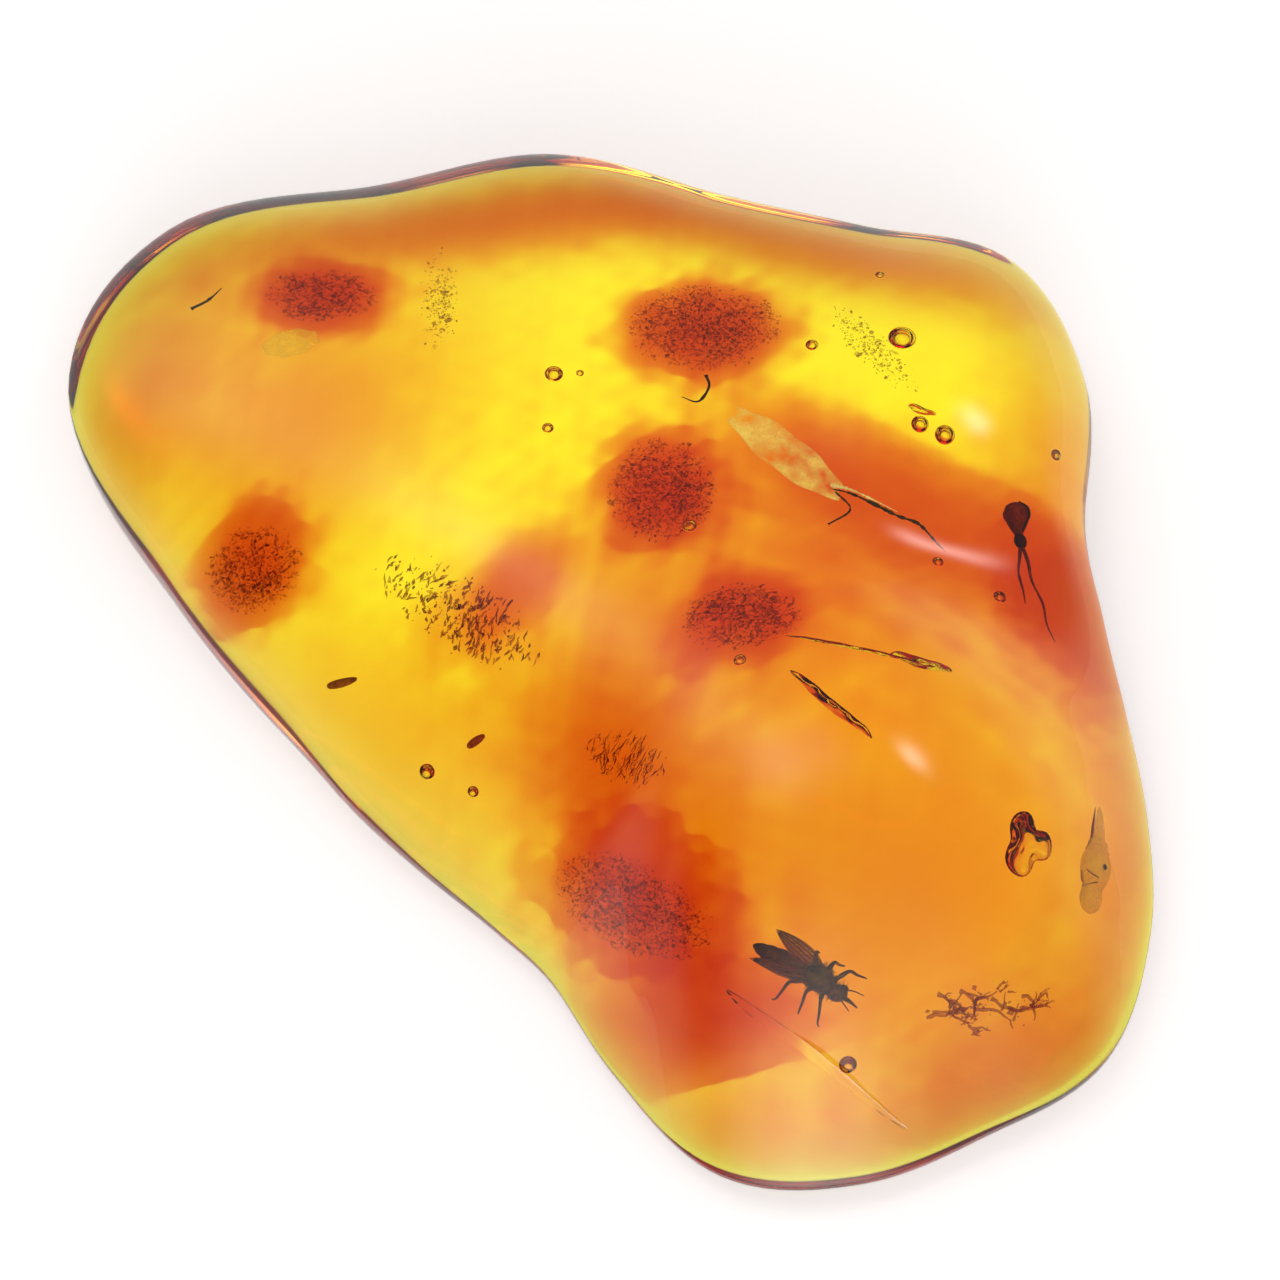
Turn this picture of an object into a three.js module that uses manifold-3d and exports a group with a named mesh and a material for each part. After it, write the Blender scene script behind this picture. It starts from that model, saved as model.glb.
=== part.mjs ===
// Insect in amber: a polished nugget of clear fossil resin with a small insect, a pale larva,
// rust-brown clots of plant dust, pellets and hairs sealed inside it.
// Millimetres, +Z up. The nugget lies on the flat of its underside, centred over the origin.
// The sealed pieces lie along one old flow face of the resin, and the nugget is parted there.

import * as THREE from 'three';
import { mergeVertices } from 'three/addons/utils/BufferGeometryUtils.js';
import Module from 'manifold-3d';

const wasm = await Module();
wasm.setup();

// Plan of the nugget: radii from its middle, at equal turns counted from +X.
const MIDDLE = { x: 3.5, y: -2.0 };
const OUTLINE = [
  12.0, 11.8, 12.6, 15.6, 17.7, 17.1, 17.7, 19.9, 21.0, 23.7, 22.7, 17.0,
  13.1, 11.1, 9.9, 9.4, 9.8, 11.9, 14.7, 15.5, 15.5, 15.8, 14.5, 13.0,
];

// Profile of the nugget: its crown, the widest line round it, and the flat that it lies on.
// The rim stands higher and rounder on the far side; on the near side it is low and keener.
const CROWN_HEIGHT = 6.4;
const CROWN_FULLNESS = 2.2;
const RIM_HEIGHT = 1.8;
const RIM_LIFT = 1.0;
const RIM_LIFT_TURN = 75;
const EDGE_KEENNESS = 1.55;
const EDGE_SOFTENING = 0.4;
const FLAT_SHARE = 0.8;

// Swells and hollows of the crown: the thick near lobe, the far right corner, the long left body,
// the waist between lobe and corner, and the dip beside the lobe.
const SWELLS = [
  { x: 8.7, y: -9.5, length: 9.0, width: 8.0, turn: -60, rise: 2.6 },
  { x: 11.1, y: 7.8, length: 6.0, width: 5.0, turn: 0, rise: 0.7 },
  { x: -6.9, y: 5.8, length: 9.0, width: 6.0, turn: -35, rise: 0.5 },
  { x: 11.4, y: 1.1, length: 6.5, width: 3.0, turn: -18, rise: -1.1 },
  { x: -3.1, y: -8.0, length: 5.0, width: 3.5, turn: 45, rise: -0.4 },
];

// Facets of the nugget, round it and from crown and flat to the rim.
const TURN_STEPS = 64;
const CROWN_STEPS = 9;
const UNDERSIDE_STEPS = 6;

// The flow face that the sealed pieces lie on, the gap that parts the nugget there,
// and the room that each pocket leaves around its piece.
const FLOW_HEIGHT = 2.75;
const FLOW_SLOPE = { x: 0.02, y: 0.06 };
const PART_GAP = 0.3;
const POCKET_ROOM = 0.3;
const POCKET_SIDES = 11;
const POCKET_RINGS = 5;
const BLOCK_SIZE = 100;
const UP = new THREE.Vector3(0, 0, 1);

// Clots and swarms of plant dust, as lumpy lenses: half length, half width, half thickness, turn,
// and lift off the flow face.
const CLOTS = [
  {
    name: 'rust_clot_far_left', x: -8.4, y: 11.3, length: 2.0, width: 1.2, thickness: 0.55, turn: -10,
    lift: -0.4,
  },
  { name: 'rust_clot_far', x: 3.0, y: 9.85, length: 2.75, width: 1.9, thickness: 0.65, turn: 0, lift: -0.2 },
  { name: 'rust_clot_centre', x: 1.7, y: 4.05, length: 2.2, width: 1.9, thickness: 0.7, turn: 90 },
  {
    name: 'rust_clot_left', x: -10.0, y: 2.95, length: 1.9, width: 1.75, thickness: 0.5, turn: 20,
    lift: -0.8,
  },
  { name: 'rust_clot_middle', x: 4.2, y: -0.55, length: 1.85, width: 1.35, thickness: 0.6, turn: -10 },
  {
    name: 'rust_clot_near', x: 1.45, y: -8.2, length: 3.1, width: 1.85, thickness: 0.6, turn: -22,
    lift: -0.6,
  },
  { name: 'crackle_swarm', x: -3.9, y: 0.8, length: 3.8, width: 1.4, thickness: 0.5, turn: -38 },
  { name: 'needle_fan', x: 1.5, y: -4.05, length: 2.0, width: 1.1, thickness: 0.5, turn: -25 },
  { name: 'root_veins', x: 11.0, y: -11.5, length: 2.5, width: 1.25, thickness: 0.35, turn: -5, lift: -0.4 },
  { name: 'speck_band', x: -4.9, y: 10.9, length: 2.4, width: 0.75, thickness: 0.45, turn: 90, lift: -0.3 },
  { name: 'speck_trail', x: 8.0, y: 9.0, length: 2.1, width: 0.75, thickness: 0.4, turn: -52 },
];
const LUMP = 0.07;
const LUMP_WAVES = [3, 5];
const CLOT_SIDES = 14;
const CLOT_RINGS = 6;

// Pellets of insect waste and a flake of pale film, as smooth grains.
const GRAINS = [
  { name: 'pellet_long', x: -7.5, y: -1.2, length: 0.52, width: 0.16, thickness: 0.14, turn: 15 },
  { name: 'pellet_short', x: -3.4, y: -3.15, length: 0.34, width: 0.15, thickness: 0.13, turn: 35 },
  { name: 'pale_film', x: -9.2, y: 9.55, length: 0.9, width: 0.55, thickness: 0.12, turn: 10 },
];

// Loose plant hairs, as thin tubes along the flow face, each in an oval pocket.
const HAIRS = [
  {
    name: 'curled_hair', radius: 0.06, points: [[3.05, 8.1], [3.14, 7.7], [2.8, 7.2], [2.3, 7.35]],
    pocket: { x: 2.7, y: 7.65, length: 0.75, width: 0.6, thickness: 0.15, turn: 0 },
  },
  {
    name: 'straight_hair', radius: 0.07, points: [[-12.3, 11.1], [-11.8, 11.35], [-11.4, 11.75]],
    pocket: { x: -11.85, y: 11.4, length: 0.75, width: 0.3, thickness: 0.15, turn: 33 },
  },
];

// The insect, head first along its own +X: its body's three parts, wings, legs and feelers.
const INSECT_PLACE = { x: 5.9, y: -10.6, turn: -37 };
const HEAD = { at: [1.1, 0.0, 0.02], half: [0.3, 0.26, 0.26] };
const THORAX = { at: [0.5, 0.02, 0.12], half: [0.52, 0.38, 0.4] };
const ABDOMEN = { at: [-0.55, 0.0, 0.0], half: [0.95, 0.34, 0.32] };
const WING = { length: 1.75, width: 0.55, thickness: 0.07, root: [0.45, 0.22, 0.28], sweep: 12, droop: 10 };
const LEG_ROOTS = [0.75, 0.5, 0.25];
const LEG_SWEEPS = [0.45, 0.05, -0.45];
const LEG_KNEE = { reach: 0.62, rise: 0.3 };
const LEG_FOOT = { reach: 0.95, rise: -0.35 };
const LEG_ROOT_SPREAD = 0.19;
const LEG_RADIUS = 0.05;
const FEELER_RADIUS = 0.035;
const FEELER_LENGTH = 0.65;
const FEELER_SPREAD = { root: 0.13, tip: 0.31 };
const INSECT_POCKET = { at: [0.05, 0.0, 0.0], half: [2.25, 1.5, 0.95] };

// The pale larva by the right edge, tail to head along its own +X.
const LARVA_PLACE = { x: 13.9, y: -7.4, turn: -92, lift: -0.5 };
const LARVA_PARTS = [
  { at: [-1.15, 0.05, 0.0], half: [0.7, 0.24, 0.24] },
  { at: [0.0, 0.0, 0.0], half: [1.0, 0.55, 0.48] },
  { at: [1.0, -0.1, 0.0], half: [0.5, 0.4, 0.36] },
];
const LARVA_POCKET = { at: [-0.15, 0.0, 0.0], half: [2.1, 0.95, 0.85] };

// Remains of a gnat at the waist, head to feet along its own +X: a wedge of body, a bead of head
// and two long trailing legs.
const GNAT_PLACE = { x: 12.0, y: 3.4, turn: -78, lift: -0.3 };
const GNAT_PARTS = [
  { at: [-0.55, 0.1, 0.0], half: [0.62, 0.42, 0.38] },
  { at: [0.25, 0.08, 0.0], half: [0.34, 0.24, 0.26] },
];
const GNAT_LEGS = [
  [[0.4, 0.06, 0.0], [1.4, -0.2, 0.05], [2.5, -0.28, 0.0]],
  [[0.4, 0.1, 0.0], [1.75, 0.15, 0.1], [3.95, 0.3, 0.0]],
];
const GNAT_LEG_RADIUS = 0.06;
const GNAT_POCKET = { at: [1.35, 0.1, 0.0], half: [3.2, 1.0, 0.75] };

// Facets of body parts and tubes, and the distance within which two points are one.
const PART_SIDES = 12;
const PART_RINGS = 6;
const TUBE_SIDES = 6;
const TUBE_STEPS = 6;
const SAME_POINT = 1e-4;

const amber = new THREE.MeshStandardMaterial({
  color: 0xf0a010, roughness: 0.08, metalness: 0, transparent: true, opacity: 0.55,
});
const rust = new THREE.MeshStandardMaterial({ color: 0x8c2f0c, roughness: 0.9, metalness: 0 });
const pellet = new THREE.MeshStandardMaterial({ color: 0x6b2a08, roughness: 0.8, metalness: 0 });
const chitin = new THREE.MeshStandardMaterial({ color: 0x3a2a10, roughness: 0.5, metalness: 0 });
const pale = new THREE.MeshStandardMaterial({ color: 0xc9a93a, roughness: 0.5, metalness: 0 });
const hair = new THREE.MeshStandardMaterial({ color: 0x20130a, roughness: 0.6, metalness: 0 });

const flowHeight = (x, y) => FLOW_HEIGHT + FLOW_SLOPE.x * x + FLOW_SLOPE.y * y;

// Manifold solids from three.js geometry, and back.
function solid(geometry) {
  geometry.deleteAttribute('normal');
  geometry.deleteAttribute('uv');
  const merged = mergeVertices(geometry, SAME_POINT);
  const mesh = new wasm.Mesh({
    numProp: 3,
    vertProperties: new Float32Array(merged.attributes.position.array),
    triVerts: new Uint32Array(merged.index.array),
  });
  return new wasm.Manifold(mesh);
}

function geometryOf(manifold) {
  const mesh = manifold.getMesh();
  const geometry = new THREE.BufferGeometry();
  geometry.setAttribute('position', new THREE.BufferAttribute(mesh.vertProperties, 3));
  geometry.setIndex(new THREE.BufferAttribute(mesh.triVerts, 1));
  geometry.computeVertexNormals();
  return geometry;
}

function join(solids) {
  return solids.reduce((whole, part) => whole.add(part));
}

// The nugget: a pillow over its outline, with a flat underneath.
function outlineRadius(angle) {
  const count = OUTLINE.length;
  const steps = (THREE.MathUtils.euclideanModulo(angle, 2 * Math.PI) / (2 * Math.PI)) * count;
  const first = Math.floor(steps);
  const t = steps - first;
  const [a, b, c, d] = [-1, 0, 1, 2].map((k) => OUTLINE[(first + k + count) % count]);
  const bend = 2 * a - 5 * b + 4 * c - d;
  const twist = 3 * b - a - 3 * c + d;
  return 0.5 * (2 * b + (c - a) * t + bend * t ** 2 + twist * t ** 3);
}

function crownHeight(x, y) {
  let height = CROWN_HEIGHT;
  for (const swell of SWELLS) {
    const turn = THREE.MathUtils.degToRad(swell.turn);
    const along = ((x - swell.x) * Math.cos(turn) + (y - swell.y) * Math.sin(turn)) / swell.length;
    const across = ((y - swell.y) * Math.cos(turn) - (x - swell.x) * Math.sin(turn)) / swell.width;
    height += swell.rise * Math.exp(-(along ** 2 + across ** 2));
  }
  return height;
}

function rimHeight(angle) {
  return RIM_HEIGHT + RIM_LIFT * Math.cos(angle - THREE.MathUtils.degToRad(RIM_LIFT_TURN));
}

function edgeKeenness(angle) {
  return EDGE_KEENNESS - EDGE_SOFTENING * Math.cos(angle - THREE.MathUtils.degToRad(RIM_LIFT_TURN));
}

function nuggetGeometry() {
  const points = [MIDDLE.x, MIDDLE.y, crownHeight(MIDDLE.x, MIDDLE.y)];
  const faces = [];
  const ring = (share, height) => {
    for (let i = 0; i < TURN_STEPS; i += 1) {
      const angle = (2 * Math.PI * i) / TURN_STEPS;
      const reach = share * outlineRadius(angle);
      const x = MIDDLE.x + reach * Math.cos(angle);
      const y = MIDDLE.y + reach * Math.sin(angle);
      points.push(x, y, height(x, y, rimHeight(angle), edgeKeenness(angle)));
    }
  };
  for (let k = 1; k <= CROWN_STEPS; k += 1) {
    const slope = (Math.PI / 2) * (k / CROWN_STEPS);
    const share = Math.sin(slope) ** (2 / CROWN_FULLNESS);
    const drop = Math.max(Math.cos(slope), 0);
    ring(share, (x, y, rim, keenness) => rim + (crownHeight(x, y) - rim) * drop ** keenness);
  }
  for (let k = UNDERSIDE_STEPS - 1; k >= 0; k -= 1) {
    const slope = (Math.PI / 2) * (k / UNDERSIDE_STEPS);
    const share = FLAT_SHARE + (1 - FLAT_SHARE) * Math.sin(slope);
    ring(share, (x, y, rim) => rim * (1 - Math.cos(slope)));
  }
  const last = points.length / 3;
  points.push(MIDDLE.x, MIDDLE.y, 0);
  const rings = CROWN_STEPS + UNDERSIDE_STEPS;
  for (let i = 0; i < TURN_STEPS; i += 1) {
    const next = (i + 1) % TURN_STEPS;
    faces.push(0, 1 + i, 1 + next);
    for (let k = 0; k < rings - 1; k += 1) {
      const upper = 1 + k * TURN_STEPS;
      const lower = upper + TURN_STEPS;
      faces.push(upper + i, lower + i, lower + next, upper + i, lower + next, upper + next);
    }
    const flat = 1 + (rings - 1) * TURN_STEPS;
    faces.push(flat + i, last, flat + next);
  }
  const geometry = new THREE.BufferGeometry();
  geometry.setAttribute('position', new THREE.Float32BufferAttribute(points, 3));
  geometry.setIndex(faces);
  return geometry;
}

// A block whose lower face is the flow face moved along its normal, to part the nugget with.
function blockAboveFlowFace(offset) {
  const normal = new THREE.Vector3(-FLOW_SLOPE.x, -FLOW_SLOPE.y, 1).normalize();
  const block = new THREE.BoxGeometry(BLOCK_SIZE, BLOCK_SIZE, BLOCK_SIZE);
  block.translate(0, 0, BLOCK_SIZE / 2 + offset);
  block.applyQuaternion(new THREE.Quaternion().setFromUnitVectors(UP, normal));
  return solid(block.translate(0, 0, FLOW_HEIGHT));
}

// A ball drawn out to half sizes, with its poles up and down.
function ball(half, sides, rings) {
  return new THREE.SphereGeometry(1, sides, rings).rotateX(Math.PI / 2).scale(...half);
}

function placed(geometry, { x, y, turn, lift = 0 }) {
  geometry.rotateZ(THREE.MathUtils.degToRad(turn));
  return geometry.translate(x, y, flowHeight(x, y) + lift);
}

function lumpyLens(clot) {
  const lens = ball([1, 1, 1], CLOT_SIDES, CLOT_RINGS);
  const position = lens.attributes.position;
  for (let i = 0; i < position.count; i += 1) {
    const [x, y, z] = [position.getX(i), position.getY(i), position.getZ(i)];
    const angle = Math.atan2(y, x);
    const flatness = 1 - z * z;
    const [long, short] = LUMP_WAVES;
    const wave = Math.sin(long * angle + clot.x) * Math.cos(short * angle + clot.y);
    const lump = 1 - LUMP * flatness * (1 + wave);
    position.setXYZ(i, x * clot.length * lump, y * clot.width * lump, z * clot.thickness);
  }
  return placed(lens, clot);
}

function smoothGrain(grain) {
  return placed(ball([grain.length, grain.width, grain.thickness], PART_SIDES, PART_RINGS), grain);
}

// An oval hollow around a lens, grain or hair, with room to spare.
function ovalPocket(piece) {
  const half = [piece.length, piece.width, piece.thickness].map((value) => value + POCKET_ROOM);
  return solid(placed(ball(half, POCKET_SIDES, POCKET_RINGS), piece));
}

// A thin round tube along a smooth curve through the points.
function tube(points, radius) {
  const section = new THREE.Shape().absarc(0, 0, radius, 0, 2 * Math.PI);
  const path = new THREE.CatmullRomCurve3(points);
  return solid(new THREE.ExtrudeGeometry(section, {
    steps: TUBE_STEPS, curveSegments: TUBE_SIDES / 2, bevelEnabled: false, extrudePath: path,
  }));
}

function hairSolid(strand) {
  return tube(strand.points.map(([x, y]) => new THREE.Vector3(x, y, flowHeight(x, y))), strand.radius);
}

// A rounded body part at its own place in an animal's frame.
function bodyPart(part, place) {
  return solid(placed(ball(part.half, PART_SIDES, PART_RINGS).translate(...part.at), place));
}

function placedTube(points, radius, place) {
  const turn = THREE.MathUtils.degToRad(place.turn);
  const { x, y, lift = 0 } = place;
  const origin = new THREE.Vector3(x, y, flowHeight(x, y) + lift);
  return tube(points.map((point) => {
    return new THREE.Vector3(...point).applyAxisAngle(UP, turn).add(origin);
  }), radius);
}

function wingSolid(side) {
  const outline = new THREE.Shape();
  outline.absellipse(-WING.length / 2, 0, WING.length / 2, WING.width / 2, 0, 2 * Math.PI);
  const wing = new THREE.ExtrudeGeometry(outline, {
    depth: WING.thickness, bevelEnabled: false, curveSegments: PART_SIDES / 2,
  });
  wing.rotateX(side * THREE.MathUtils.degToRad(WING.droop));
  wing.rotateZ(-side * THREE.MathUtils.degToRad(WING.sweep));
  wing.translate(WING.root[0], side * WING.root[1], WING.root[2]);
  return solid(placed(wing, INSECT_PLACE));
}

function legSolid(side, index) {
  const root = LEG_ROOTS[index];
  const knee = root + LEG_SWEEPS[index] * LEG_KNEE.reach;
  const foot = root + LEG_SWEEPS[index] * LEG_FOOT.reach;
  return placedTube([
    [root, side * LEG_ROOT_SPREAD, 0],
    [knee, side * LEG_KNEE.reach, LEG_KNEE.rise],
    [foot, side * LEG_FOOT.reach, LEG_FOOT.rise],
  ], LEG_RADIUS, INSECT_PLACE);
}

function feelerSolid(side) {
  const [x, y, z] = HEAD.at;
  return placedTube([
    [x, y + side * FEELER_SPREAD.root, z],
    [x + FEELER_LENGTH, y + side * FEELER_SPREAD.tip, z + FEELER_RADIUS],
  ], FEELER_RADIUS, INSECT_PLACE);
}

function insectSolid() {
  const sides = [-1, 1];
  return join([
    ...[HEAD, THORAX, ABDOMEN].map((part) => bodyPart(part, INSECT_PLACE)),
    ...sides.map(wingSolid),
    ...sides.flatMap((side) => LEG_ROOTS.map((_, index) => legSolid(side, index))),
    ...sides.map(feelerSolid),
  ]);
}

function gnatSolid() {
  return join([
    ...GNAT_PARTS.map((part) => bodyPart(part, GNAT_PLACE)),
    ...GNAT_LEGS.map((points) => placedTube(points, GNAT_LEG_RADIUS, GNAT_PLACE)),
  ]);
}

function larvaSolid() {
  return join(LARVA_PARTS.map((part) => bodyPart(part, LARVA_PLACE)));
}

const grainMaterial = (grain) => (grain.name === 'pale_film' ? pale : pellet);
const pieces = [
  ...CLOTS.map((clot) => ({ name: clot.name, body: solid(lumpyLens(clot)), material: rust })),
  ...GRAINS.map((grain) => ({
    name: grain.name, body: solid(smoothGrain(grain)), material: grainMaterial(grain),
  })),
  ...HAIRS.map((strand) => ({ name: strand.name, body: hairSolid(strand), material: hair })),
  { name: 'insect', body: insectSolid(), material: chitin },
  { name: 'pale_larva', body: larvaSolid(), material: pale },
  { name: 'gnat_remains', body: gnatSolid(), material: chitin },
];

const pockets = join([
  ...CLOTS.map(ovalPocket),
  ...GRAINS.map(ovalPocket),
  ...HAIRS.map((strand) => ovalPocket(strand.pocket)),
  bodyPart(INSECT_POCKET, INSECT_PLACE),
  bodyPart(LARVA_POCKET, LARVA_PLACE),
  bodyPart(GNAT_POCKET, GNAT_PLACE),
]);

const hollowed = solid(nuggetGeometry()).subtract(pockets);
const upperHalf = hollowed.intersect(blockAboveFlowFace(PART_GAP / 2));
const lowerHalf = hollowed.subtract(blockAboveFlowFace(-PART_GAP / 2));

const part = new THREE.Group();
const add = (name, body, material) => {
  const mesh = new THREE.Mesh(geometryOf(body), material);
  mesh.name = name;
  part.add(mesh);
};
add('amber_upper', upperHalf, amber);
add('amber_lower', lowerHalf, amber);
pieces.forEach(({ name, body, material }) => add(name, body, material));

export default part;
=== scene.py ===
"""Insect in amber: a polished nugget of clear fossil resin with an insect, a larva, rust-brown
clots of plant dust, pellets and hairs sealed in it. Lengths are in millimetres until a mesh is made.
"""

import math

import bpy
import numpy as np
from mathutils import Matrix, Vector


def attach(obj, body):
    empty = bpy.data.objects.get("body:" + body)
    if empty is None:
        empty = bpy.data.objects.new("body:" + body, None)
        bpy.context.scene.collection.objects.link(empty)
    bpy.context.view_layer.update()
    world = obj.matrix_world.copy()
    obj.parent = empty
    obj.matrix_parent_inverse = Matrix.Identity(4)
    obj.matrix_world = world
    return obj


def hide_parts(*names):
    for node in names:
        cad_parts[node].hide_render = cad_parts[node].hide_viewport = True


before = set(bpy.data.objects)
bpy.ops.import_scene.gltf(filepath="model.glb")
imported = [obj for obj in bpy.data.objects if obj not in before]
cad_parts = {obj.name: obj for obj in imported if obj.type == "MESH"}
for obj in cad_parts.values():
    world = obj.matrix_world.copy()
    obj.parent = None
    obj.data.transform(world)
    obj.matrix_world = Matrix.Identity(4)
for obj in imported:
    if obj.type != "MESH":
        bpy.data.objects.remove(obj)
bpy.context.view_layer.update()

# The nugget: clear fossil resin, water-worn, then ground and polished to a gloss all over.
# It is one solid. Its air bubbles, one dented void and thin cracks are hollows with walls of their own.
# The sealed pieces lie on an old flow face, where one run of resin set before the next.
MM = 0.001
MIDDLE = np.array([3.5, -2.0])
OUTLINE = np.array([
    12.0, 11.8, 12.6, 15.6, 17.7, 17.1, 17.7, 19.9, 21.0, 23.7, 22.7, 17.0,
    13.1, 11.1, 9.9, 9.4, 9.8, 11.9, 14.7, 15.5, 15.5, 15.8, 14.5, 13.0,
])
CROWN_HEIGHT = 6.4
CROWN_FULLNESS = 2.2
SWELLS = [
    ((8.7, -9.5), 9.0, 8.0, -60, 2.6), ((11.1, 7.8), 6.0, 5.0, 0, 0.7), ((-6.9, 5.8), 9.0, 6.0, -35, 0.5),
    ((11.4, 1.1), 6.5, 3.0, -18, -1.1), ((-3.1, -8.0), 5.0, 3.5, 45, -0.4),
]
RIM_HEIGHT = 1.8
RIM_LIFT = 1.0
RIM_LIFT_TURN = 75
EDGE_KEENNESS = 1.55
EDGE_SOFTENING = 0.4
FLAT_SHARE = 0.94
FLOW_HEIGHT = 2.75
FLOW_SLOPE = (0.02, 0.06)
AROUND = 256
CROWN_RINGS = 72
UNDERSIDE_RINGS = 40
BUBBLES = [
    (-1.46, 7.73, 4.63, 0.29), (-1.65, 5.75, 4.72, 0.18), (8.91, 8.99, 4.67, 0.42),
    (-5.08, -4.4, 2.82, 0.25), (-3.7, -5.12, 2.92, 0.18), (2.55, 2.21, 4.83, 0.21),
    (7.1, -14.03, 2.75, 0.26), (10.05, 5.83, 4.62, 0.3), (9.34, 6.11, 4.72, 0.26),
    (13.37, 5.81, 3.79, 0.18), (11.6, 0.7, 3.84, 0.21), (4.16, -2.68, 5.17, 0.18),
    (6.25, 8.77, 4.64, 0.2), (8.31, 11.63, 4.25, 0.15), (9.75, 1.65, 4.17, 0.18),
    (-0.68, 7.76, 4.65, 0.12),
]
BUBBLE_SIDES = 20
VOID = dict(at=(12.0, -7.7, 4.0), half=(0.85, 1.05, 0.42), dents=((-0.75, 0.1), (0.55, 0.75), (0.5, -0.75)))
DENT_DEPTH = 0.45
DENT_WIDTH = 0.4
CRACKS = [
    dict(at=(6.3, -13.9, 2.75), along=(0.78, -0.6, -0.22), dip=(0.05, 0.33, -0.94), length=3.3, width=1.1),
    dict(at=(7.2, -2.35, 5.1), along=(0.98, -0.2, -0.08), dip=(0.25, 0.6, -0.75), length=1.9, width=0.14),
    dict(at=(6.6, -4.2, 5.3), along=(0.71, -0.7, 0.0), dip=(0.45, 0.6, -0.66), length=1.5, width=0.22),
    dict(at=(9.0, -2.6, 4.8), along=(0.98, -0.2, 0.0), dip=(0.1, 0.75, -0.65), length=0.9, width=0.3),
    dict(at=(9.4, 6.6, 4.6), along=(0.9, -0.4, 0.1), dip=(0.3, 0.6, -0.74), length=0.42, width=0.3),
]
CRACK_GAPE = 0.02
CRACK_RIPPLE = 0.015
CRACK_RIPPLE_WAVES = 9
CRACK_FEATHER_WAVES = (2.1, 5)
CRACK_RAGGED = 0.25
CRACK_RINGS = 14
CRACK_SIDES = 48
AMBER_TINT = (0.99, 0.92, 0.16, 1)
AMBER_REFRACTION = 1.54
AMBER_DENSITY = 380
AMBER_TAKES = (0.01, 0.05, 0.99)
POLISH_WAVES = 150
POLISH_WAVE_HEIGHT = 0.04
POLISH_DULL = (0.58, 0.75, 0.0, 0.06)


def full_turn(sides):
    return np.linspace(0, 2 * np.pi, sides, endpoint=False)


def flow_height(x, y):
    return FLOW_HEIGHT + FLOW_SLOPE[0] * x + FLOW_SLOPE[1] * y


def eased(a, b, c, d, t):
    """Smooth way from b to c, led by what comes before and after them."""
    bend = 2 * a - 5 * b + 4 * c - d
    twist = 3 * b - a - 3 * c + d
    return 0.5 * (2 * b + (c - a) * t + bend * t**2 + twist * t**3)


def outline_radius(turn):
    """Smooth reach of the nugget from its middle, through the outline's radii."""
    steps = (turn % (2 * np.pi)) / (2 * np.pi) * len(OUTLINE)
    first = np.floor(steps).astype(int)
    return eased(*(OUTLINE[(first + k) % len(OUTLINE)] for k in (-1, 0, 1, 2)), steps - first)


def bell(x, y, at, length, width, turn):
    """A soft hump, 1 at its middle, drawn out to a length and a width."""
    turn = math.radians(turn)
    along = ((x - at[0]) * math.cos(turn) + (y - at[1]) * math.sin(turn)) / length
    across = ((y - at[1]) * math.cos(turn) - (x - at[0]) * math.sin(turn)) / width
    return np.exp(-(along**2 + across**2))


def crown_height(x, y):
    """Height of the crown with its swells: each has a place, length, width, turn and rise."""
    height = np.full_like(x, CROWN_HEIGHT)
    for at, length, width, turn, rise in SWELLS:
        height += rise * bell(x, y, at, length, width, turn)
    return height


def rim_height(turn):
    return RIM_HEIGHT + RIM_LIFT * np.cos(turn - math.radians(RIM_LIFT_TURN))


def edge_keenness(turn):
    return EDGE_KEENNESS - EDGE_SOFTENING * np.cos(turn - math.radians(RIM_LIFT_TURN))


def top_height(x, y):
    """Height of the polished top over a place in the plan."""
    turn = np.arctan2(y - MIDDLE[1], x - MIDDLE[0])
    share = np.clip(np.hypot(x - MIDDLE[0], y - MIDDLE[1]) / outline_radius(turn), 0, 1)
    rim = rim_height(turn)
    return rim + (crown_height(x, y) - rim) * (1 - share**CROWN_FULLNESS) ** (edge_keenness(turn) / 2)


def ring_faces(rings, around, first):
    """Quads between closed rings of points that follow one another from a first index."""
    quads = []
    for ring in range(rings - 1):
        for i in range(around):
            a = first + ring * around + i
            b = first + ring * around + (i + 1) % around
            quads.append((a, a + around, b + around, b))
    return quads


def closed_rings(top, rings, bottom):
    """Points and faces of a body made of rings, with a point that closes it at each end."""
    around = len(rings[0])
    points = np.concatenate([[top], *rings, [bottom]])
    last = len(points) - 1
    faces = [(0, 1 + i, 1 + (i + 1) % around) for i in range(around)]
    faces += ring_faces(len(rings), around, 1)
    faces += [(last, last - 1 - i, last - 1 - (i + 1) % around) for i in range(around)]
    return points, faces


def plan_ring(share):
    """Places in the plan along the outline, drawn in to a share of its reach."""
    turn = full_turn(AROUND)
    reach = share * outline_radius(turn)
    return MIDDLE[0] + reach * np.cos(turn), MIDDLE[1] + reach * np.sin(turn)


def nugget_shell():
    turn = full_turn(AROUND)
    rim = rim_height(turn)
    rings = []
    for slope in np.linspace(0, np.pi / 2, CROWN_RINGS + 1)[1:]:
        share = np.sin(slope) ** (2 / CROWN_FULLNESS)
        x, y = plan_ring(share)
        drop = max(np.cos(slope), 0) ** edge_keenness(turn)
        rings.append(np.stack([x, y, rim + (crown_height(x, y) - rim) * drop], 1))
    for slope in np.linspace(np.pi / 2, 0, UNDERSIDE_RINGS + 1)[1:]:
        share = FLAT_SHARE + (1 - FLAT_SHARE) * np.sin(slope)
        x, y = plan_ring(share)
        rings.append(np.stack([x, y, rim * (1 - np.cos(slope))], 1))
    top = (*MIDDLE, float(crown_height(*MIDDLE.reshape(2, 1))[0]))
    return closed_rings(top, rings, (*MIDDLE, 0.0))


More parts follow.
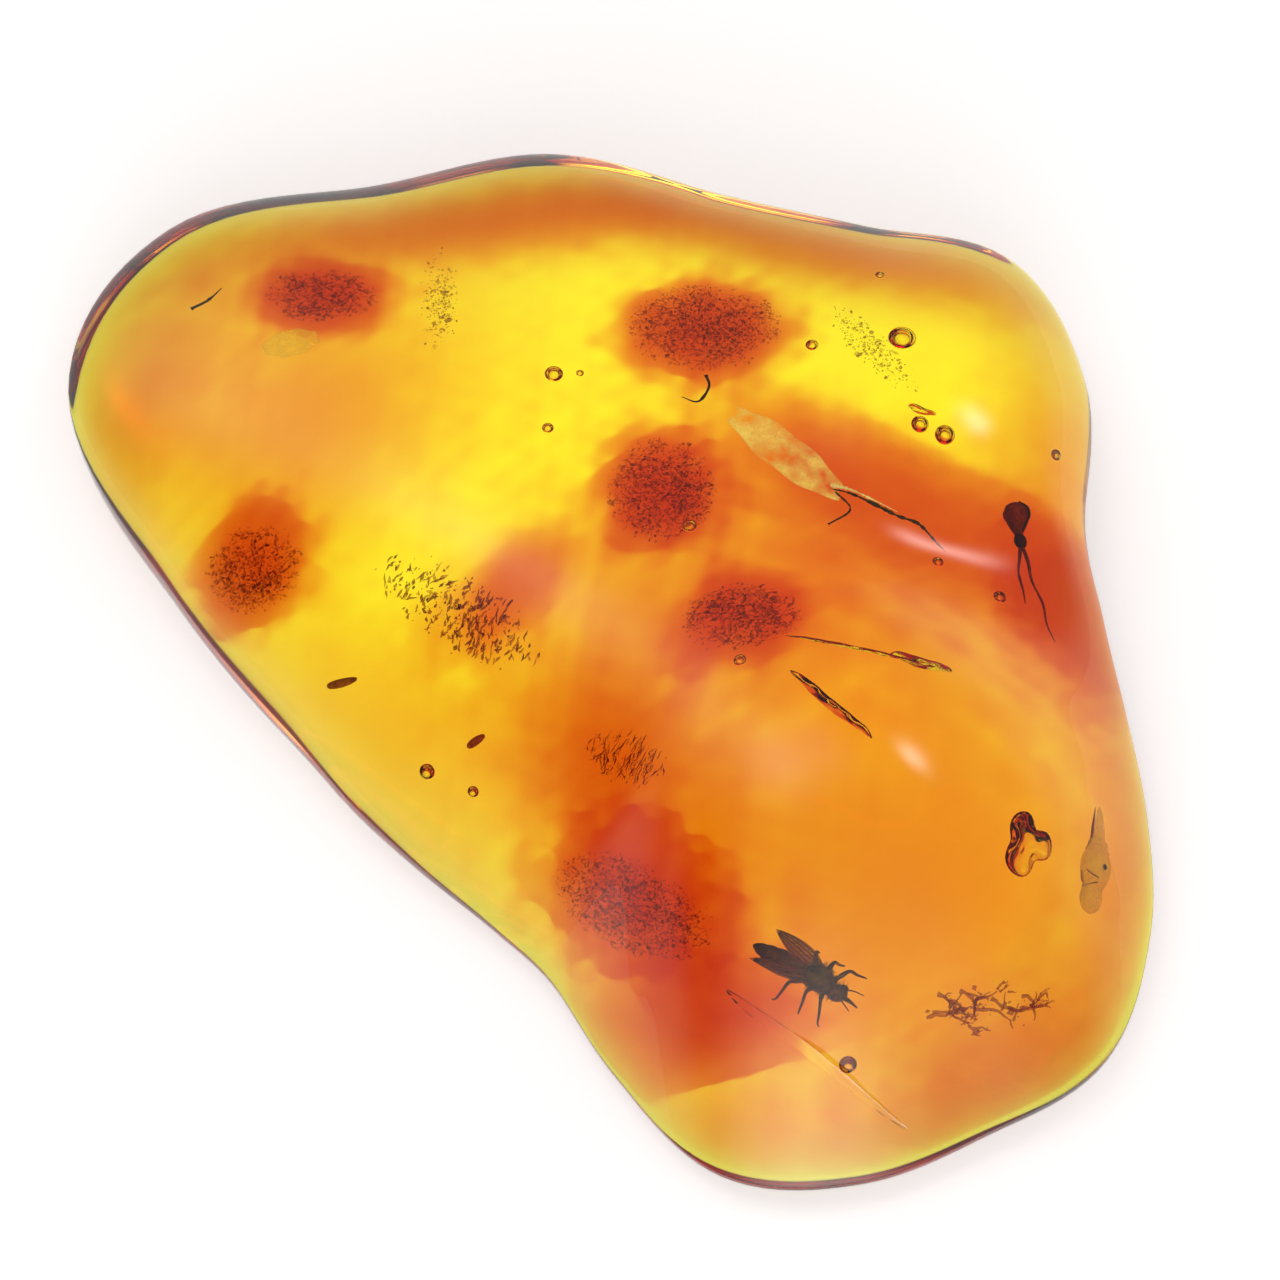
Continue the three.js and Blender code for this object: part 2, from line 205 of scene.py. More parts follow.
def ball(middle, half, sides):
    """A rounded body with half sizes, in rings from its top to its bottom."""
    turn = full_turn(sides)
    rings = []
    for slope in np.linspace(0, np.pi, sides // 2 + 1)[1:-1]:
        ring = np.stack([np.sin(slope) * np.cos(turn), np.sin(slope) * np.sin(turn)], 1)
        rings.append(np.column_stack([ring, np.full(sides, np.cos(slope))]) * half + middle)
    return closed_rings(middle + np.array([0, 0, half[2]]), rings, middle - np.array([0, 0, half[2]]))


def dented_ball(at, half, dents):
    """A flattened round body, pushed in from several sides of its plan."""
    points, faces = ball(np.zeros(3), (1.0, 1.0, 1.0), 2 * BUBBLE_SIDES)
    for dent in dents:
        away = np.hypot(points[:, 0] - dent[0], points[:, 1] - dent[1])
        points *= (1 - DENT_DEPTH * np.exp(-((away / DENT_WIDTH) ** 2)))[:, None]
    return points * half + np.array(at), faces


def lens(middle, axes, rim, rings, gape, fullness, lift):
    """Two thin sheets on two axes that meet along a rim, both lifted by a function of the place."""
    sheets = {1: [], -1: []}
    for share in np.linspace(0, 1, rings + 1)[1:]:
        u, v = share * rim
        for side in sheets:
            up = lift(share, u, v) + side * gape * (1 - share**fullness)
            sheets[side].append(middle + np.stack([u, v, up], 1) @ axes)
    ends = [middle + side * gape * axes[2] for side in sheets]
    return closed_rings(ends[0], sheets[1] + sheets[-1][-2::-1], ends[1])


def crack_lens(at, along, dip, length, width):
    """A hair-thin gap with feathered ripples, closed along its edge, lying on the plane of two lines."""
    along = np.array(along) / np.linalg.norm(along)
    facing = np.cross(along, dip)
    facing /= np.linalg.norm(facing)
    axes = np.array([along, np.cross(facing, along), facing])
    turn = full_turn(CRACK_SIDES)
    rim = np.array([length * np.cos(turn), width * np.sin(turn) * (1 + CRACK_RAGGED * np.sin(3 * turn))])

    def ripple(share, u, v):
        feather = np.cos(CRACK_FEATHER_WAVES[0] * u + CRACK_FEATHER_WAVES[1] * v)
        rings = np.sin(CRACK_RIPPLE_WAVES * np.hypot(u + length, v))
        return CRACK_RIPPLE * rings * feather * min(1, 2 * share)

    return lens(np.array(at), axes, rim, CRACK_RINGS, CRACK_GAPE, 2, ripple)


def hollow(points, faces):
    """A body turned inside out, so that its walls bound the resin around it."""
    return points, [face[::-1] for face in faces]


def joined(bodies):
    """One mesh from several bodies, each given as points and faces."""
    points = []
    faces = []
    count = 0
    for body_points, body_faces in bodies:
        points.append(body_points)
        faces += [tuple(count + i for i in face) for face in body_faces]
        count += len(body_points)
    return np.concatenate(points), faces


def linked(name, data):
    """An object of a mesh or a camera, put in the scene."""
    thing = bpy.data.objects.new(name, data)
    bpy.context.scene.collection.objects.link(thing)
    return thing


def make_piece(name, parts, nodes=(), smooth=True):
    """A piece made of pairs of body and material, which rides on the CAD body and stands for nodes."""
    points, faces = joined([body for body, _ in parts])
    mesh = bpy.data.meshes.new(name)
    mesh.from_pydata((np.asarray(points) * MM).tolist(), [], faces)
    mesh.polygons.foreach_set("use_smooth", [smooth] * len(mesh.polygons))
    finishes = list(dict.fromkeys(material for _, material in parts))
    for material in finishes:
        mesh.materials.append(material)
    finish_of_face = [finishes.index(material) for body, material in parts for _ in body[1]]
    mesh.polygons.foreach_set("material_index", finish_of_face)
    piece = linked(name, mesh)
    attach(piece, "root")
    if nodes:
        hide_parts(*nodes)


def new_material(name):
    material = bpy.data.materials.new(name)
    material.use_nodes = True
    return material, material.node_tree, material.node_tree.nodes["Principled BSDF"]


def set_inputs(tree, node, **inputs):
    """Set a shader node's inputs to values, or link them to other nodes' outputs."""
    for name, value in inputs.items():
        socket = node.inputs[name.replace("_", " ")]
        if isinstance(value, bpy.types.NodeSocket):
            tree.links.new(value, socket)
        else:
            socket.default_value = value


def node_of(tree, kind, **inputs):
    node = tree.nodes.new(kind)
    set_inputs(tree, node, **inputs)
    return node


def absorbing(tree, density, share):
    """Plain absorption on a material's volume: share of the density taken from red, green and blue."""
    colour = (1 - share[0], 1 - share[1], 1 - share[2], 1)
    volume = node_of(tree, "ShaderNodeVolumeAbsorption", Density=density, Color=colour)
    set_inputs(tree, tree.nodes["Material Output"], Volume=volume.outputs["Volume"])


def noise(tree, scale, detail=3.0, stretch=(1, 1, 1)):
    """Soft noise over the object's own place, with a scale in waves for each metre."""
    place = tree.nodes.new("ShaderNodeTexCoord").outputs["Object"]
    mapped = node_of(tree, "ShaderNodeMapping", Vector=place, Scale=stretch).outputs["Vector"]
    return node_of(tree, "ShaderNodeTexNoise", Vector=mapped, Scale=scale, Detail=detail).outputs["Fac"]


def shaded(tree, value, stops):
    """A colour ramp from a value, with stops of place and colour."""
    ramp = node_of(tree, "ShaderNodeValToRGB", Fac=value)
    elements = ramp.color_ramp.elements
    while len(elements) < len(stops):
        elements.new(0.5)
    for element, (place, colour) in zip(elements, stops):
        element.position = place
        element.color = (*colour, 1)
    return ramp.outputs["Color"]


def between(tree, value, low, high, least, most):
    """A value brought from one range to another and held within it."""
    inputs = dict(Value=value, From_Min=low, From_Max=high, To_Min=least, To_Max=most)
    return node_of(tree, "ShaderNodeMapRange", **inputs).outputs["Result"]


def bumped(tree, height, distance):
    """A surface raised by a height over a distance in millimetres."""
    inputs = dict(Height=height, Distance=distance * MM, Strength=1.0)
    return node_of(tree, "ShaderNodeBump", **inputs).outputs["Normal"]


def clear_amber():
    material, tree, shader = new_material("clear_amber")
    waves = noise(tree, POLISH_WAVES, 0.0)
    set_inputs(
        tree, shader, Transmission_Weight=1.0, IOR=AMBER_REFRACTION, Base_Color=AMBER_TINT,
        Roughness=between(tree, waves, *POLISH_DULL), Normal=bumped(tree, waves, POLISH_WAVE_HEIGHT),
    )
    absorbing(tree, AMBER_DENSITY, AMBER_TAKES)
    return material


amber = clear_amber()
hollows = [hollow(*ball(np.array([x, y, z]), (r, r, r), BUBBLE_SIDES)) for x, y, z, r in BUBBLES]
hollows.append(hollow(*dented_ball(**VOID)))
hollows += [hollow(*crack_lens(**crack)) for crack in CRACKS]
nugget = joined([nugget_shell(), *hollows])
make_piece("amber", [(nugget, amber)], ("amber_upper", "amber_lower"))

# Towards the rim all round the stain deepens further, as painted shade for the darker rim.
# The stained layer: along the flow face the resin itself is stained orange-brown by what soaked out
# of the plant dust before it set, deepest round the clots, under the near lobe and across the waist.
# It bends no light at its faces, because it is only colour within the same resin.
STAINS = [
    ((-8.3, 11.35), 1.95, 1.25, -10, 1.6), ((-7.5, 9.6), 5.4, 3.7, -15, 0.25),
    ((3.05, 9.85), 2.5, 1.8, 0, 1.7), ((1.7, 4.05), 1.8, 2.0, 0, 1.7),
    ((-10.0, 2.95), 1.8, 1.65, 20, 1.5), ((-8.9, 6.4), 3.8, 3.2, 0, 0.5),
    ((-13.6, 8.8), 3.6, 2.2, 60, 0.5), ((4.2, -0.55), 1.75, 1.35, -10, 1.2),
    ((1.45, -8.2), 2.95, 1.85, -22, 1.5), ((9.6, 3.6), 6.0, 2.8, -20, 1.1),
    ((2.6, 0.4), 4.6, 3.0, -20, 0.5), ((0.9, -4.3), 3.8, 2.6, -50, 1.1), ((8.6, -8.0), 6.9, 6.3, 0, 0.72),
    ((2.9, -12.2), 3.2, 2.2, -20, 1.8), ((13.7, 1.2), 3.4, 2.1, -80, 1.6),
    ((-2.5, 1.2), 1.9, 1.1, 35, 1.2), ((11.8, -14.2), 4.5, 2.0, 25, 1.1),
    ((15.3, -6.5), 6.5, 1.6, 85, 0.55), ((-3.0, 14.3), 9.0, 1.5, 8, 0.9),
    ((7.0, 13.0), 6.0, 1.4, -16, 0.8), ((7.4, 0.8), 5.0, 4.0, -25, 0.55),
    ((6.0, 5.6), 2.8, 1.5, -20, 0.5), ((13.4, 6.8), 2.4, 2.6, 0, 0.35),
    ((-5.4, -2.6), 5.5, 2.2, -45, 0.35), ((4.0, -15.4), 3.4, 1.4, 0, 0.5),
]
FIRM_STAINS = {(-8.3, 11.35), (3.05, 9.85), (1.7, 4.05), (-10.0, 2.95), (4.2, -0.55), (1.45, -8.2)}
STAIN_BOUNDS = {(9.6, 3.6): ((9.8, 5.9), (14.2, 3.75)), (2.9, -12.2): ((4.8, -13.25), (1.1, -14.3))}
STAIN_LEAST = 0.05
STAIN_TRACE = 1e-30
STAIN_FIRM_RAGGED = 0.16
STAIN_SOFT_RAGGED = 0.12
RIM_PAINTED_SHADE = 0.25
RIM_PAINTED_SHADE_POWER = 6
STAIN_END_POWER = 24
STAIN_REACH = 0.97
STAIN_COVER = 0.25
STAIN_BOUND_WIDTH = 0.25
STAIN_STEP = 0.15
STAIN_WAVES = 40
STAIN_WAVE_LENGTHS = (0.6, 3.0)
STAIN_HALF = 18.0
STAIN_DENSITY = 900
STAIN_TAKES = (0.16, 0.9, 1.0)


def stain_depth(x, y):
    """Half thickness of all stains together, with painted shade that deepens them towards the rim: each
    stain has a place, length, width, turn and depth.
    """
    depth = np.full_like(x, -STAIN_LEAST)
    rng = np.random.default_rng(50)
    ragged = np.zeros_like(x)
    for _ in range(STAIN_WAVES):
        heading, start = rng.uniform(0, 2 * np.pi, 2)
        across = (x * math.cos(heading) + y * math.sin(heading)) / rng.uniform(*STAIN_WAVE_LENGTHS)
        ragged += np.sin(2 * np.pi * across + start) / math.sqrt(STAIN_WAVES)
    for at, length, width, turn, most in STAINS:
        share = bell(x, y, at, length, width, turn)
        if at in FIRM_STAINS:
            away = -np.log(np.maximum(share, STAIN_TRACE)) * np.exp(STAIN_FIRM_RAGGED * ragged)
            share = np.exp(-(away**2))
        else:
            share = share ** np.exp(STAIN_SOFT_RAGGED * ragged)
        if at in STAIN_BOUNDS:
            (x1, y1), (x2, y2) = STAIN_BOUNDS[at]
            beyond = ((x2 - x1) * (y - y1) - (y2 - y1) * (x - x1)) / math.hypot(x2 - x1, y2 - y1)
            share = share * (1 - np.tanh(beyond / STAIN_BOUND_WIDTH)) / 2
        depth += most * share
    turn = np.arctan2(y - MIDDLE[1], x - MIDDLE[0])
    reach = np.hypot(x - MIDDLE[0], y - MIDDLE[1]) / (outline_radius(turn) * STAIN_REACH)
    # Painted shade: the stain deepens towards the rim, for the darker brownish rim.
    depth += RIM_PAINTED_SHADE * reach**RIM_PAINTED_SHADE_POWER
    return np.maximum(depth, 0) * np.maximum(1 - reach**STAIN_END_POWER, 0)


def stain_layer():
    """Two sheets over the flow face, apart by the stains' depth, that meet along the stains' edges."""
    lines = np.arange(-STAIN_HALF, STAIN_HALF, STAIN_STEP)
    x, y = np.meshgrid(lines, lines, indexing="ij")
    middle = np.minimum(flow_height(x, y), top_height(x, y) / 2)
    depth = np.minimum(stain_depth(x, y), np.maximum(middle - STAIN_COVER, 0))
    top = middle + depth
    bottom = middle - depth
    upper = np.arange(x.size).reshape(x.shape)
    lower = np.where(depth > 0, upper + x.size, upper)
    cells = [
        np.stack([sheet[:-1, :-1], sheet[1:, :-1], sheet[1:, 1:], sheet[:-1, 1:]], -1).reshape(-1, 4)
        for sheet in (upper, lower)
    ]
    stained = (depth.ravel()[cells[0]] > 0).any(1)
    faces = np.concatenate([cells[0][stained], cells[1][stained][:, ::-1]])
    points = np.concatenate([np.stack([x, y, height], -1).reshape(-1, 3) for height in (top, bottom)])
    used, faces = np.unique(faces, return_inverse=True)
    return points[used], faces.reshape(-1, 4).tolist()


def stained_resin():
    material, tree, shader = new_material("stained_resin")
    set_inputs(tree, shader, Base_Color=(1, 1, 1, 1), Transmission_Weight=1.0, IOR=1.0, Roughness=0.0)
    absorbing(tree, STAIN_DENSITY, STAIN_TAKES)
    return material


make_piece("stained_layer", [(stain_layer(), stained_resin())])

# Rust clots: plant dust and rotted wood that drifted together on the sticky flow face
# and were sealed by the next run of resin; fine crumbs in crooked strings, loose at the edge.
CLOT_NODES = [
    "rust_clot_far_left", "rust_clot_far", "rust_clot_centre",
    "rust_clot_left", "rust_clot_middle", "rust_clot_near",
]
STRINGS_FOR_SQUARE_MM = 48
CRUMB_CORNERS = np.array([[1, 0, 0], [-1, 0, 0], [0, 1, 0], [0, -1, 0], [0, 0, 1], [0, 0, -1]], float)
CRUMB_FACES = np.array([
    [0, 2, 4], [2, 1, 4], [1, 3, 4], [3, 0, 4], [2, 0, 5], [1, 2, 5], [3, 1, 5], [0, 3, 5],
])
CRUMB_SPREAD = 2.6
CRUMB_SIZE = 0.009
STRING_START = 0.92
STRING_FLATNESS = 0.2
STRING_REACH = (0.8, 1.0)
STRING_WANDER = 0.45
STRING_CLIMB = 0.8
STRING_STEP = (0.01, 0.05)
CLOT_END = 0.97
CLOT_COVER = 0.08
RUST_SHADES = [
    (0.0, (0.45, 0.06, 0.008)), (0.25, (0.95, 0.2, 0.025)), (0.75, (1.0, 0.36, 0.05)),
    (0.93, (0.95, 0.5, 0.15)), (1.0, (0.95, 0.8, 0.55)),
]


def lie_of(node):
    """Middle, axes from long to short, and half sizes of a CAD solid, from its own corners."""
    corners = np.array([v.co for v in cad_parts[node].data.vertices]) / MM
    middle = (corners.min(0) + corners.max(0)) / 2
    axes = np.linalg.svd(corners - middle, full_matrices=False)[2]
    return middle, axes, np.abs((corners - middle) @ axes.T).max(0)


def random_turns(count, rng):
    """Rotations that point every way, from unit quaternions."""
    q = rng.normal(size=(count, 4))
    w, x, y, z = (q / np.linalg.norm(q, axis=1, keepdims=True)).T
    rows = [
        [1 - 2 * (y * y + z * z), 2 * (x * y - z * w), 2 * (x * z + y * w)],
        [2 * (x * y + z * w), 1 - 2 * (x * x + z * z), 2 * (y * z - x * w)],
        [2 * (x * z - y * w), 2 * (y * z + x * w), 1 - 2 * (x * x + y * y)],
    ]
    return np.array(rows).transpose(2, 0, 1)


def crumbs(middles, sizes, rng):
    """Angular grains, each stretched its own way, as one mesh."""
    count = len(middles)
    corners = CRUMB_CORNERS * rng.uniform(0.6, 1.3, (count, 6, 1)) * rng.uniform(0.5, 1.2, (count, 1, 3))
    corners = np.einsum("nij,nkj->nki", random_turns(count, rng), corners * sizes[:, None, None])
    points = (corners + middles[:, None, :]).reshape(-1, 3)
    faces = (CRUMB_FACES[None] + 6 * np.arange(count)[:, None, None]).reshape(-1, 3)
    return points, faces.tolist()


def clot_crumbs(node, rng):
    """Crumbs along crooked strings that start anywhere in a clot and end near its edge."""
    middle, axes, half = lie_of(node)
    places = []
    for _ in range(int(STRINGS_FOR_SQUARE_MM * half[0] * half[1])):
        heading = rng.uniform(0, 2 * np.pi)
        away = STRING_START * np.sqrt(rng.uniform())
        at = np.array([away * np.cos(heading), away * np.sin(heading), rng.normal(0, STRING_FLATNESS)])
        heading = rng.uniform(0, 2 * np.pi)
        reach = rng.uniform(*STRING_REACH)
        while np.linalg.norm(at) < reach:
            places.append(at)
            heading += rng.normal(0, STRING_WANDER)
            step = np.array([np.cos(heading), np.sin(heading), rng.normal(0, STRING_CLIMB)])
            at = at + step * rng.uniform(*STRING_STEP)
    places = np.array(places)
    places = places[np.linalg.norm(places, axis=1) < CLOT_END]
    middles = middle + (places * (half - CLOT_COVER)) @ axes
    return crumbs(middles, rng.gamma(CRUMB_SPREAD, CRUMB_SIZE, len(middles)), rng)


def dry_matter(name, shades, rough, grain, waves=None, cover=1.0):
    """A dry material, shaded by crumb or in waves, with an uneven roughness and a fine grain."""
    material, tree, shader = new_material(name)
    if waves is None:
        shade = tree.nodes.new("ShaderNodeNewGeometry").outputs["Random Per Island"]
    else:
        shade = noise(tree, waves)
    if isinstance(cover, tuple):
        cover = between(tree, shade, 0.0, 1.0, *cover)
    rough_waves, least, most = rough
    grain_waves, depth = grain
    set_inputs(
        tree, shader, Base_Color=shaded(tree, shade, shades), Alpha=cover,
        Roughness=between(tree, noise(tree, rough_waves), 0.3, 0.7, least, most),
        Normal=bumped(tree, noise(tree, grain_waves), depth),
    )
    return material


rust = dry_matter("rust_dust", RUST_SHADES, (9000, 0.7, 1.0), (30000, 0.01), cover=(0.45, 0.15))
for number, node in enumerate(CLOT_NODES):
    rng = np.random.default_rng(100 + number)
    make_piece(node, [(clot_crumbs(node, rng), rust)], (node,), smooth=False)

# Speckles: the same rust-brown dust, strewn thinly beside the far clots
# where the creeping resin carried it off and then set round it.
SPECKS = 520
SPECK_COVER = 0.05


def strewn(lie, count, spread, end, size, rng):
    """Loose crumbs, thickest at the middle of a solid's lie and none beyond its end."""
    middle, axes, half = lie
    spots = rng.normal(0, spread, (count, 3))
    spots = spots[np.linalg.norm(spots, axis=1) < end]
    return crumbs(middle + (spots * half) @ axes, rng.gamma(3.0, size, len(spots)), rng)


for number, node in enumerate(("speck_band", "speck_trail")):
    rng = np.random.default_rng(200 + number)
    middle, axes, half = lie_of(node)
    specks = strewn((middle, axes, half - SPECK_COVER), SPECKS, 0.42, 0.95, 0.012, rng)
    make_piece(node, [(specks, rust)], (node,), smooth=False)

# Crackle and needles: splinters of rotted wood and bark, red-brown and jagged, that lie
# in swarms combed one way by the creeping resin; beside the near lobe they fan out.
SWARMS = [
    dict(node="crackle_swarm", splinters=230, lean=68, spread=24,
         reach=(0.12, 0.75), radius=0.04, crumbs=260),
    dict(node="needle_fan", splinters=150, lean=62, spread=16,
         reach=(0.3, 0.8), radius=0.022, crumbs=60),
]
SWARM_END = 0.9
STRAND_TILT = np.array([0.31, 0.17, 0.93])
BARK_SHADES = [(0.0, (0.25, 0.03, 0.006)), (0.6, (0.75, 0.1, 0.015)), (1.0, (0.95, 0.22, 0.025))]


def strand(path, radii, sides):
    """A round strand along a path of points, with a radius for each, closed at both ends."""
    path = np.asarray(path, float)
    along = np.gradient(path, axis=0)
    along /= np.linalg.norm(along, axis=1, keepdims=True)
    side = np.cross(along, STRAND_TILT)
    side /= np.linalg.norm(side, axis=1, keepdims=True)
    other = np.cross(-along, side)
    turn = full_turn(sides)
    radii = np.broadcast_to(radii, len(path))
    rings = [
        place + radius * (np.outer(np.cos(turn), a) + np.outer(np.sin(turn), b))
        for place, radius, a, b in zip(path, radii, side, other)
    ]
    return closed_rings(path[0], rings, path[-1])


def splinter(start, lean, length, radius, rng):
    """A jagged sliver with a few kinks, thickest near its middle."""
    kinks = rng.integers(4, 7)
    headings = lean + rng.normal(0, 0.35, kinks)
    steps = np.column_stack([np.cos(headings), np.sin(headings), rng.normal(0, 0.12, kinks)])
    path = start + np.cumsum(steps * (length / kinks), axis=0)
    swell = np.sin(np.linspace(0.25, np.pi - 0.15, kinks))
    return strand(path, radius * swell * rng.uniform(0.5, 1.4, kinks), 5)


def swarm_splinters(swarm, rng):
    middle, axes, half = lie_of(swarm["node"])
    slivers = []
    while len(slivers) < swarm["splinters"]:
        start = rng.uniform(-SWARM_END, SWARM_END, 3)
        lean = math.radians(swarm["lean"] + rng.normal(0, swarm["spread"]))
        length = rng.uniform(*swarm["reach"]) * rng.uniform(0.5, 1.0)
        at = middle + (start * half) @ axes
        end = ((at + length * np.array([math.cos(lean), math.sin(lean), 0]) - middle) @ axes.T) / half
        if max(np.linalg.norm(start), np.linalg.norm(end)) < SWARM_END:
            slivers.append(splinter(at, lean, length, swarm["radius"], rng))
    dust = strewn((middle, axes, half), swarm["crumbs"], 0.36, SWARM_END, 0.011, rng)
    return joined([*slivers, dust])


bark = dry_matter("bark_brown", BARK_SHADES, (7000, 0.55, 0.9), (16000, 0.01), cover=(0.6, 0.3))
for number, swarm in enumerate(SWARMS):
    rng = np.random.default_rng(300 + number)
    node = swarm["node"]
    make_piece(node, [(swarm_splinters(swarm, rng), bark)], (node,), smooth=False)

# Root veins: fine rootlets and fungus threads that crept over the flow face by the near edge,
# orange-brown, crooked and branching, with a few crumbs caught among them.
VEIN_RADIUS = 0.07
VEIN_STEP = 0.14
VEIN_WANDER = 0.42
VEIN_CLIMB = 0.08
VEINS = 16
VEIN_TWIGS = 2
VEIN_END = 0.95
VEIN_COVER = 0.45
VEIN_CRUMBS = 60
VEIN_SHADES = [(0.3, (0.8, 0.2, 0.02)), (0.7, (1.0, 0.35, 0.04))]


def rootlet(start, heading, length, radius, rng):
    """A crooked thread that wanders from a start and thins to its tip."""
    count = max(5, int(length / VEIN_STEP))
    headings = heading + np.cumsum(rng.normal(0, VEIN_WANDER, count))
    climbs = rng.normal(0, VEIN_CLIMB, count)
    steps = np.column_stack([np.cos(headings), np.sin(headings), climbs])
    path = start + np.cumsum(steps * (length / count), axis=0)
    return path, strand(path, radius * np.linspace(1.0, 0.25, count) * rng.uniform(0.7, 1.3, count), 6)


def rootlets(node, rng):
    middle, axes, half = lie_of(node)
    threads = []

    def grow(start, heading, length, radius, twigs):
        path, thread = rootlet(start, heading, length, radius, rng)
        inside = np.linalg.norm(((path - middle) @ axes.T) / half, axis=1) < VEIN_END
        if inside.all():
            threads.append(thread)
            for fork in rng.integers(1, len(path), twigs):
                side = rng.choice([-1, 1]) * rng.uniform(0.5, 1.2)
                grow(path[fork], heading + side, length * 0.45, radius * 0.7, twigs - 1)

    for _ in range(VEINS):
        start = middle + (rng.uniform(-0.8, 0.5, 3) * half * (1, 0.8, 0.3)) @ axes
        grow(start, rng.normal(0, 0.35), rng.uniform(0.7, 1.7), VEIN_RADIUS, VEIN_TWIGS)
    caught = strewn((middle, axes, half), VEIN_CRUMBS, 0.35, 0.9, 0.018, rng)
    return joined([*threads, caught])


rootlet_brown = dry_matter(
    "rootlet_brown", VEIN_SHADES, (5000, 0.5, 0.8), (12000, 0.01), waves=1500, cover=VEIN_COVER)
veins = rootlets("root_veins", np.random.default_rng(400))
make_piece("root_veins", [(veins, rootlet_brown)], ("root_veins",))

# Pellets: droppings of wood-eating larvae, dry red-brown barrels with blunt ends and
# lengthwise grooves, lying loose on the flow face.
PELLET_SIDES = 24
PELLET_GROOVES = 6
PELLET_GROOVE_DEPTH = 0.07
PELLET_BEND = 0.06
PELLET_BLUNTNESS = 0.4
PELLET_TAPER = 0.12
PELLET_GIRTH = 0.93
PELLET_SHADES = [(0.3, (0.35, 0.07, 0.01)), (0.7, (0.75, 0.2, 0.03))]


def pellet(node):
    """A barrel along a solid's long axis, bent a little and grooved lengthwise."""
    middle, axes, half = lie_of(node)
    turn = full_turn(PELLET_SIDES)
    groove = 1 - PELLET_GROOVE_DEPTH * np.cos(PELLET_GROOVES * turn) ** 2
    rings = []
    for share in np.sin(np.linspace(-np.pi / 2, np.pi / 2, 25))[1:-1]:
        girth = (1 - share**2) ** PELLET_BLUNTNESS * (1 - PELLET_TAPER * share)
        bend = PELLET_BEND * (1 - 2 * share**2) * half[1]
        across = girth * groove * half[1] * PELLET_GIRTH
        ring = np.outer(np.cos(turn) * across + bend, axes[1]) + np.outer(np.sin(turn) * across, axes[2])
        rings.append(middle + share * half[0] * axes[0] + ring)
    if np.dot(np.cross(axes[1], axes[2]), axes[0]) > 0:
        rings = rings[::-1]
    return closed_rings(rings[0].mean(0), rings, rings[-1].mean(0))


dropping = dry_matter("pellet_brown", PELLET_SHADES, (9000, 0.5, 0.85), (14000, 0.02), waves=6000)
for node in ("pellet_long", "pellet_short"):
    make_piece(node, [(pellet(node), dropping)], (node,))

# Pale film: a scrap of shed skin under the far left clot, tan, wrinkled and see-through,
# thinner than paper, that settled flat on the flow face.
FILM_SIDES = 48
FILM_RINGS = 12
FILM_THICKNESS = 0.012
FILM_RAGGED = 0.1
FILM_WRINKLE = 0.05
FILM_TAN = (0.95, 0.6, 0.12)
# The film's glow is painted light, standing for the light it scatters.
FILM_PAINTED_GLOW = 0.45
EVEN = (1, 1, 1)


def film(middle, axes, half, wrinkle):
    """A thin wrinkled scrap with a ragged edge, lying on two axes."""
    turn = full_turn(FILM_SIDES)
    ragged = 1 - FILM_RAGGED * (1 + np.sin(5 * turn) * np.cos(3 * turn + 1))
    rim = np.array([half[0] * ragged * np.cos(turn), half[1] * ragged * np.sin(turn)])

    def fold(_, u, v):
        u = u / half[0]
        v = v / half[1]
        return wrinkle * np.sin(7 * u + 3 * np.sin(4 * v)) * np.cos(5 * v)

    return lens(middle, axes, rim, FILM_RINGS, FILM_THICKNESS, 4, fold)


def upright(axes):
    """Axes turned so that the last one points up and the three are right-handed."""
    axes = axes * np.where(axes[2, 2] < 0, -1, 1)
    return np.array([axes[0], np.cross(axes[2], axes[0]), axes[2]])


def milky_skin(name, colour, least, most, stretch, glow=0.0):
    """A see-through skin with fibres. A glow stands for the light that a milky skin scatters."""
    material, tree, shader = new_material(name)
    fibres = noise(tree, 1400, 6.0, stretch)
    dim = tuple(0.6 * share for share in colour)
    set_inputs(
        tree, shader, Base_Color=shaded(tree, fibres, [(0.3, dim), (0.65, colour)]),
        Alpha=between(tree, fibres, 0.35, 0.7, least, most), Roughness=0.5,
        Emission_Color=(*colour, 1), Emission_Strength=glow, Normal=bumped(tree, fibres, 0.03),
    )
    return material


middle, axes, half = lie_of("pale_film")
scrap = film(middle, upright(axes), half, FILM_WRINKLE)
# The shed skin glows: painted light, for the light it scatters.
shed_skin_painted_glow = milky_skin("shed_skin_painted_glow", FILM_TAN, 0.15, 0.7, EVEN, FILM_PAINTED_GLOW)
make_piece("pale_film", [(scrap, shed_skin_painted_glow)], ("pale_film",))

# Hairs: plant hairs from bud scales, black-brown, one curled like a hook and one straight,
# each thick at the root with a knot or two.
HAIRS = {
    "curled_hair": dict(points=[(3.05, 8.1), (3.14, 7.7), (2.8, 7.2), (2.3, 7.35)], radius=0.06),
    "straight_hair": dict(points=[(-12.3, 11.1), (-11.8, 11.35), (-11.4, 11.75)], radius=0.07),
}
HAIR_STEPS = 40
HAIR_GIRTH = 0.75
HAIR_TAPER = 0.75
HAIR_SHADES = [(0.3, (0.012, 0.008, 0.005)), (0.7, (0.06, 0.03, 0.012))]


def smooth_path(points, count):
    """Points along a smooth curve through a few given ones, which may hold more than a place."""
    points = np.asarray(points, float)
    knots = np.linspace(0, len(points) - 1, count)
    first = np.minimum(knots.astype(int), len(points) - 2)
    t = (knots - first)[:, None]
    led = np.vstack([2 * points[0] - points[1], points, 2 * points[-1] - points[-2]])
    return eased(*(led[first + k] for k in range(4)), t)


